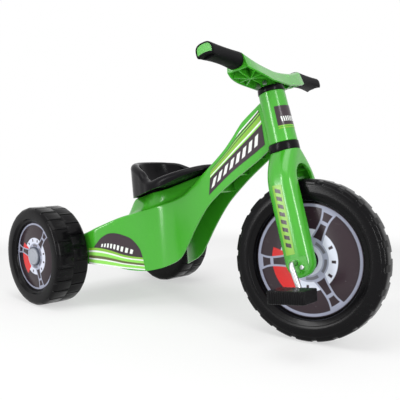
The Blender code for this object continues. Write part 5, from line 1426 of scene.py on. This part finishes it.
def head_sticker():
    """A sticker round the front of the head tube, a little short of its sides."""
    a = np.radians(np.linspace(-HEAD_STICKER_TURN, HEAD_STICKER_TURN, 60))[:, None]
    s = np.linspace(HEAD_STICKER_LOW, HEAD_STICKER_HIGH, 13)[None, :]
    share = (s - HEAD_BOTTOM) / (HEAD_TOP - HEAD_BOTTOM)
    radius = HEAD_RADIUS_BOTTOM + (HEAD_RADIUS_TOP - HEAD_RADIUS_BOTTOM) * share
    grids = [np.stack(np.broadcast_arrays((radius + proud) * np.cos(a),
                                          (radius + proud) * np.sin(a), s), -1)
             for proud in (0.0004, 0.0001)]
    laid_sticker("head_sticker", grids, IN_HEAD, HEAD_STICKER, "frame")


leg_sticker("right", -1)
leg_sticker("left", 1)
head_sticker()

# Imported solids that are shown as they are, and their finish
KEPT_NODES = (
    (ZINC_STEEL, ("rear_axle", "rear_left_washer", "rear_right_washer", "rear_left_push_nut",
                  "rear_right_push_nut", "seat_bolt_front", "seat_bolt_rear", "seat_nut_front",
                  "seat_nut_rear", "steering_stem", "stem_screw", "handlebar_bolt",
                  "handlebar_nut", "left_clamp_screw", "right_clamp_screw", "left_pedal_nut",
                  "right_pedal_nut")),
    (BLACK_PLASTIC, ("rear_left_axle_bush", "rear_right_axle_bush", "left_crank_bush",
                     "right_crank_bush")),
    (GREEN_PLASTIC, ("left_axle_clamp", "right_axle_clamp")),
)
for finish, names in KEPT_NODES:
    for name in names:
        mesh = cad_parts[name].data
        mesh.materials.clear()
        mesh.materials.append(finish)


def floor_plane():
    """A wide floor that keeps the shadows near the trike and fades to plain white far off."""
    mesh = bpy.data.meshes.new("floor")
    reach = FLOOR_REACH
    corners = [(-reach, -reach, 0), (reach, -reach, 0), (reach, reach, 0), (-reach, reach, 0)]
    mesh.from_pydata(corners, [], [(0, 1, 2, 3)])
    material, recipe, shader = new_material("floor_white", 0.9, specular=0.0)
    shader.inputs["Base Color"].default_value = (*FLOOR_WHITE, 1.0)
    length = recipe.node("ShaderNodeVectorMath", operation="LENGTH")
    recipe.feed(length.inputs[0], recipe.node("ShaderNodeTexCoord").outputs["Object"])
    far = recipe.node("ShaderNodeMapRange", interpolation_type="SMOOTHSTEP")
    recipe.feed(far.inputs["Value"], length.outputs["Value"])
    far.inputs["From Min"].default_value = FLOOR_FADE_START
    far.inputs["From Max"].default_value = FLOOR_FADE_END
    white = recipe.node("ShaderNodeEmission")
    glow = recipe.maths("MAXIMUM", far.outputs[0], FLOOR_GLOW)
    mask = recipe.both(glow, recipe.seen_directly())
    recipe.show_mix("Material Output", mask, shader.outputs[0], white.outputs[0])
    mesh.materials.append(material)
    floor = bpy.data.objects.new("floor", mesh)
    bpy.context.scene.collection.objects.link(floor)


def white_room(level):
    """A world that is white where it is seen and lights the trike at a level."""
    world = bpy.data.worlds.new("studio")
    world.use_nodes = True
    bpy.context.scene.world = world
    recipe = Recipe(world.node_tree)
    glow = world.node_tree.nodes["Background"]
    shown = recipe.node("ShaderNodeBackground")
    for background, strength in ((glow, level), (shown, 1.0)):
        background.inputs["Color"].default_value = (1, 1, 1, 1)
        background.inputs["Strength"].default_value = strength
    recipe.show_mix("World Output", recipe.seen_directly(), glow.outputs[0], shown.outputs[0])


def softbox(name, place, width, height, power, aim=LAMP_AIM):
    """A rectangular lamp at a place, facing a point, with its long side upright."""
    lamp = bpy.data.lights.new(name, "AREA")
    lamp.shape = "RECTANGLE"
    lamp.size = width
    lamp.size_y = height
    lamp.energy = power
    item = bpy.data.objects.new(name, lamp)
    item.location = place
    item.rotation_euler = (Vector(aim) - Vector(place)).to_track_quat("-Z", "Y").to_euler()
    item.visible_camera = False
    bpy.context.scene.collection.objects.link(item)


def photo_camera():
    """The camera that the photograph was solved for."""
    lens = bpy.data.cameras.new("photo_camera")
    lens.sensor_width = SENSOR_WIDTH
    lens.lens = CAMERA_FOCUS * SENSOR_WIDTH / PHOTO_WIDTH
    lens.clip_end = 100.0
    item = bpy.data.objects.new("photo_camera", lens)
    item.location = Vector(CAMERA_AT) + Vector(IN_BODY[:3, 3])
    level = math.cos(CAMERA_PITCH)
    ahead = Vector((math.cos(CAMERA_YAW) * level, math.sin(CAMERA_YAW) * level,
                    -math.sin(CAMERA_PITCH)))
    item.rotation_euler = ahead.to_track_quat("-Z", "Y").to_euler()
    bpy.context.scene.collection.objects.link(item)
    bpy.context.scene.camera = item


floor_plane()
white_room(ROOM_LEVEL)
softbox("overhead", (0.2, -0.5, 2.4), 1.8, 1.8, 22.0, aim=(0.0, 0.0, 0.2))
softbox("front_strip", (2.40, -0.76, 1.0), STRIP_WIDTH, STRIP_HEIGHT, STRIP_POWER)
softbox("side_strip", (-0.46, -2.48, 1.0), STRIP_WIDTH, STRIP_HEIGHT, STRIP_POWER)
photo_camera()
bpy.context.scene.view_settings.view_transform = "Standard"
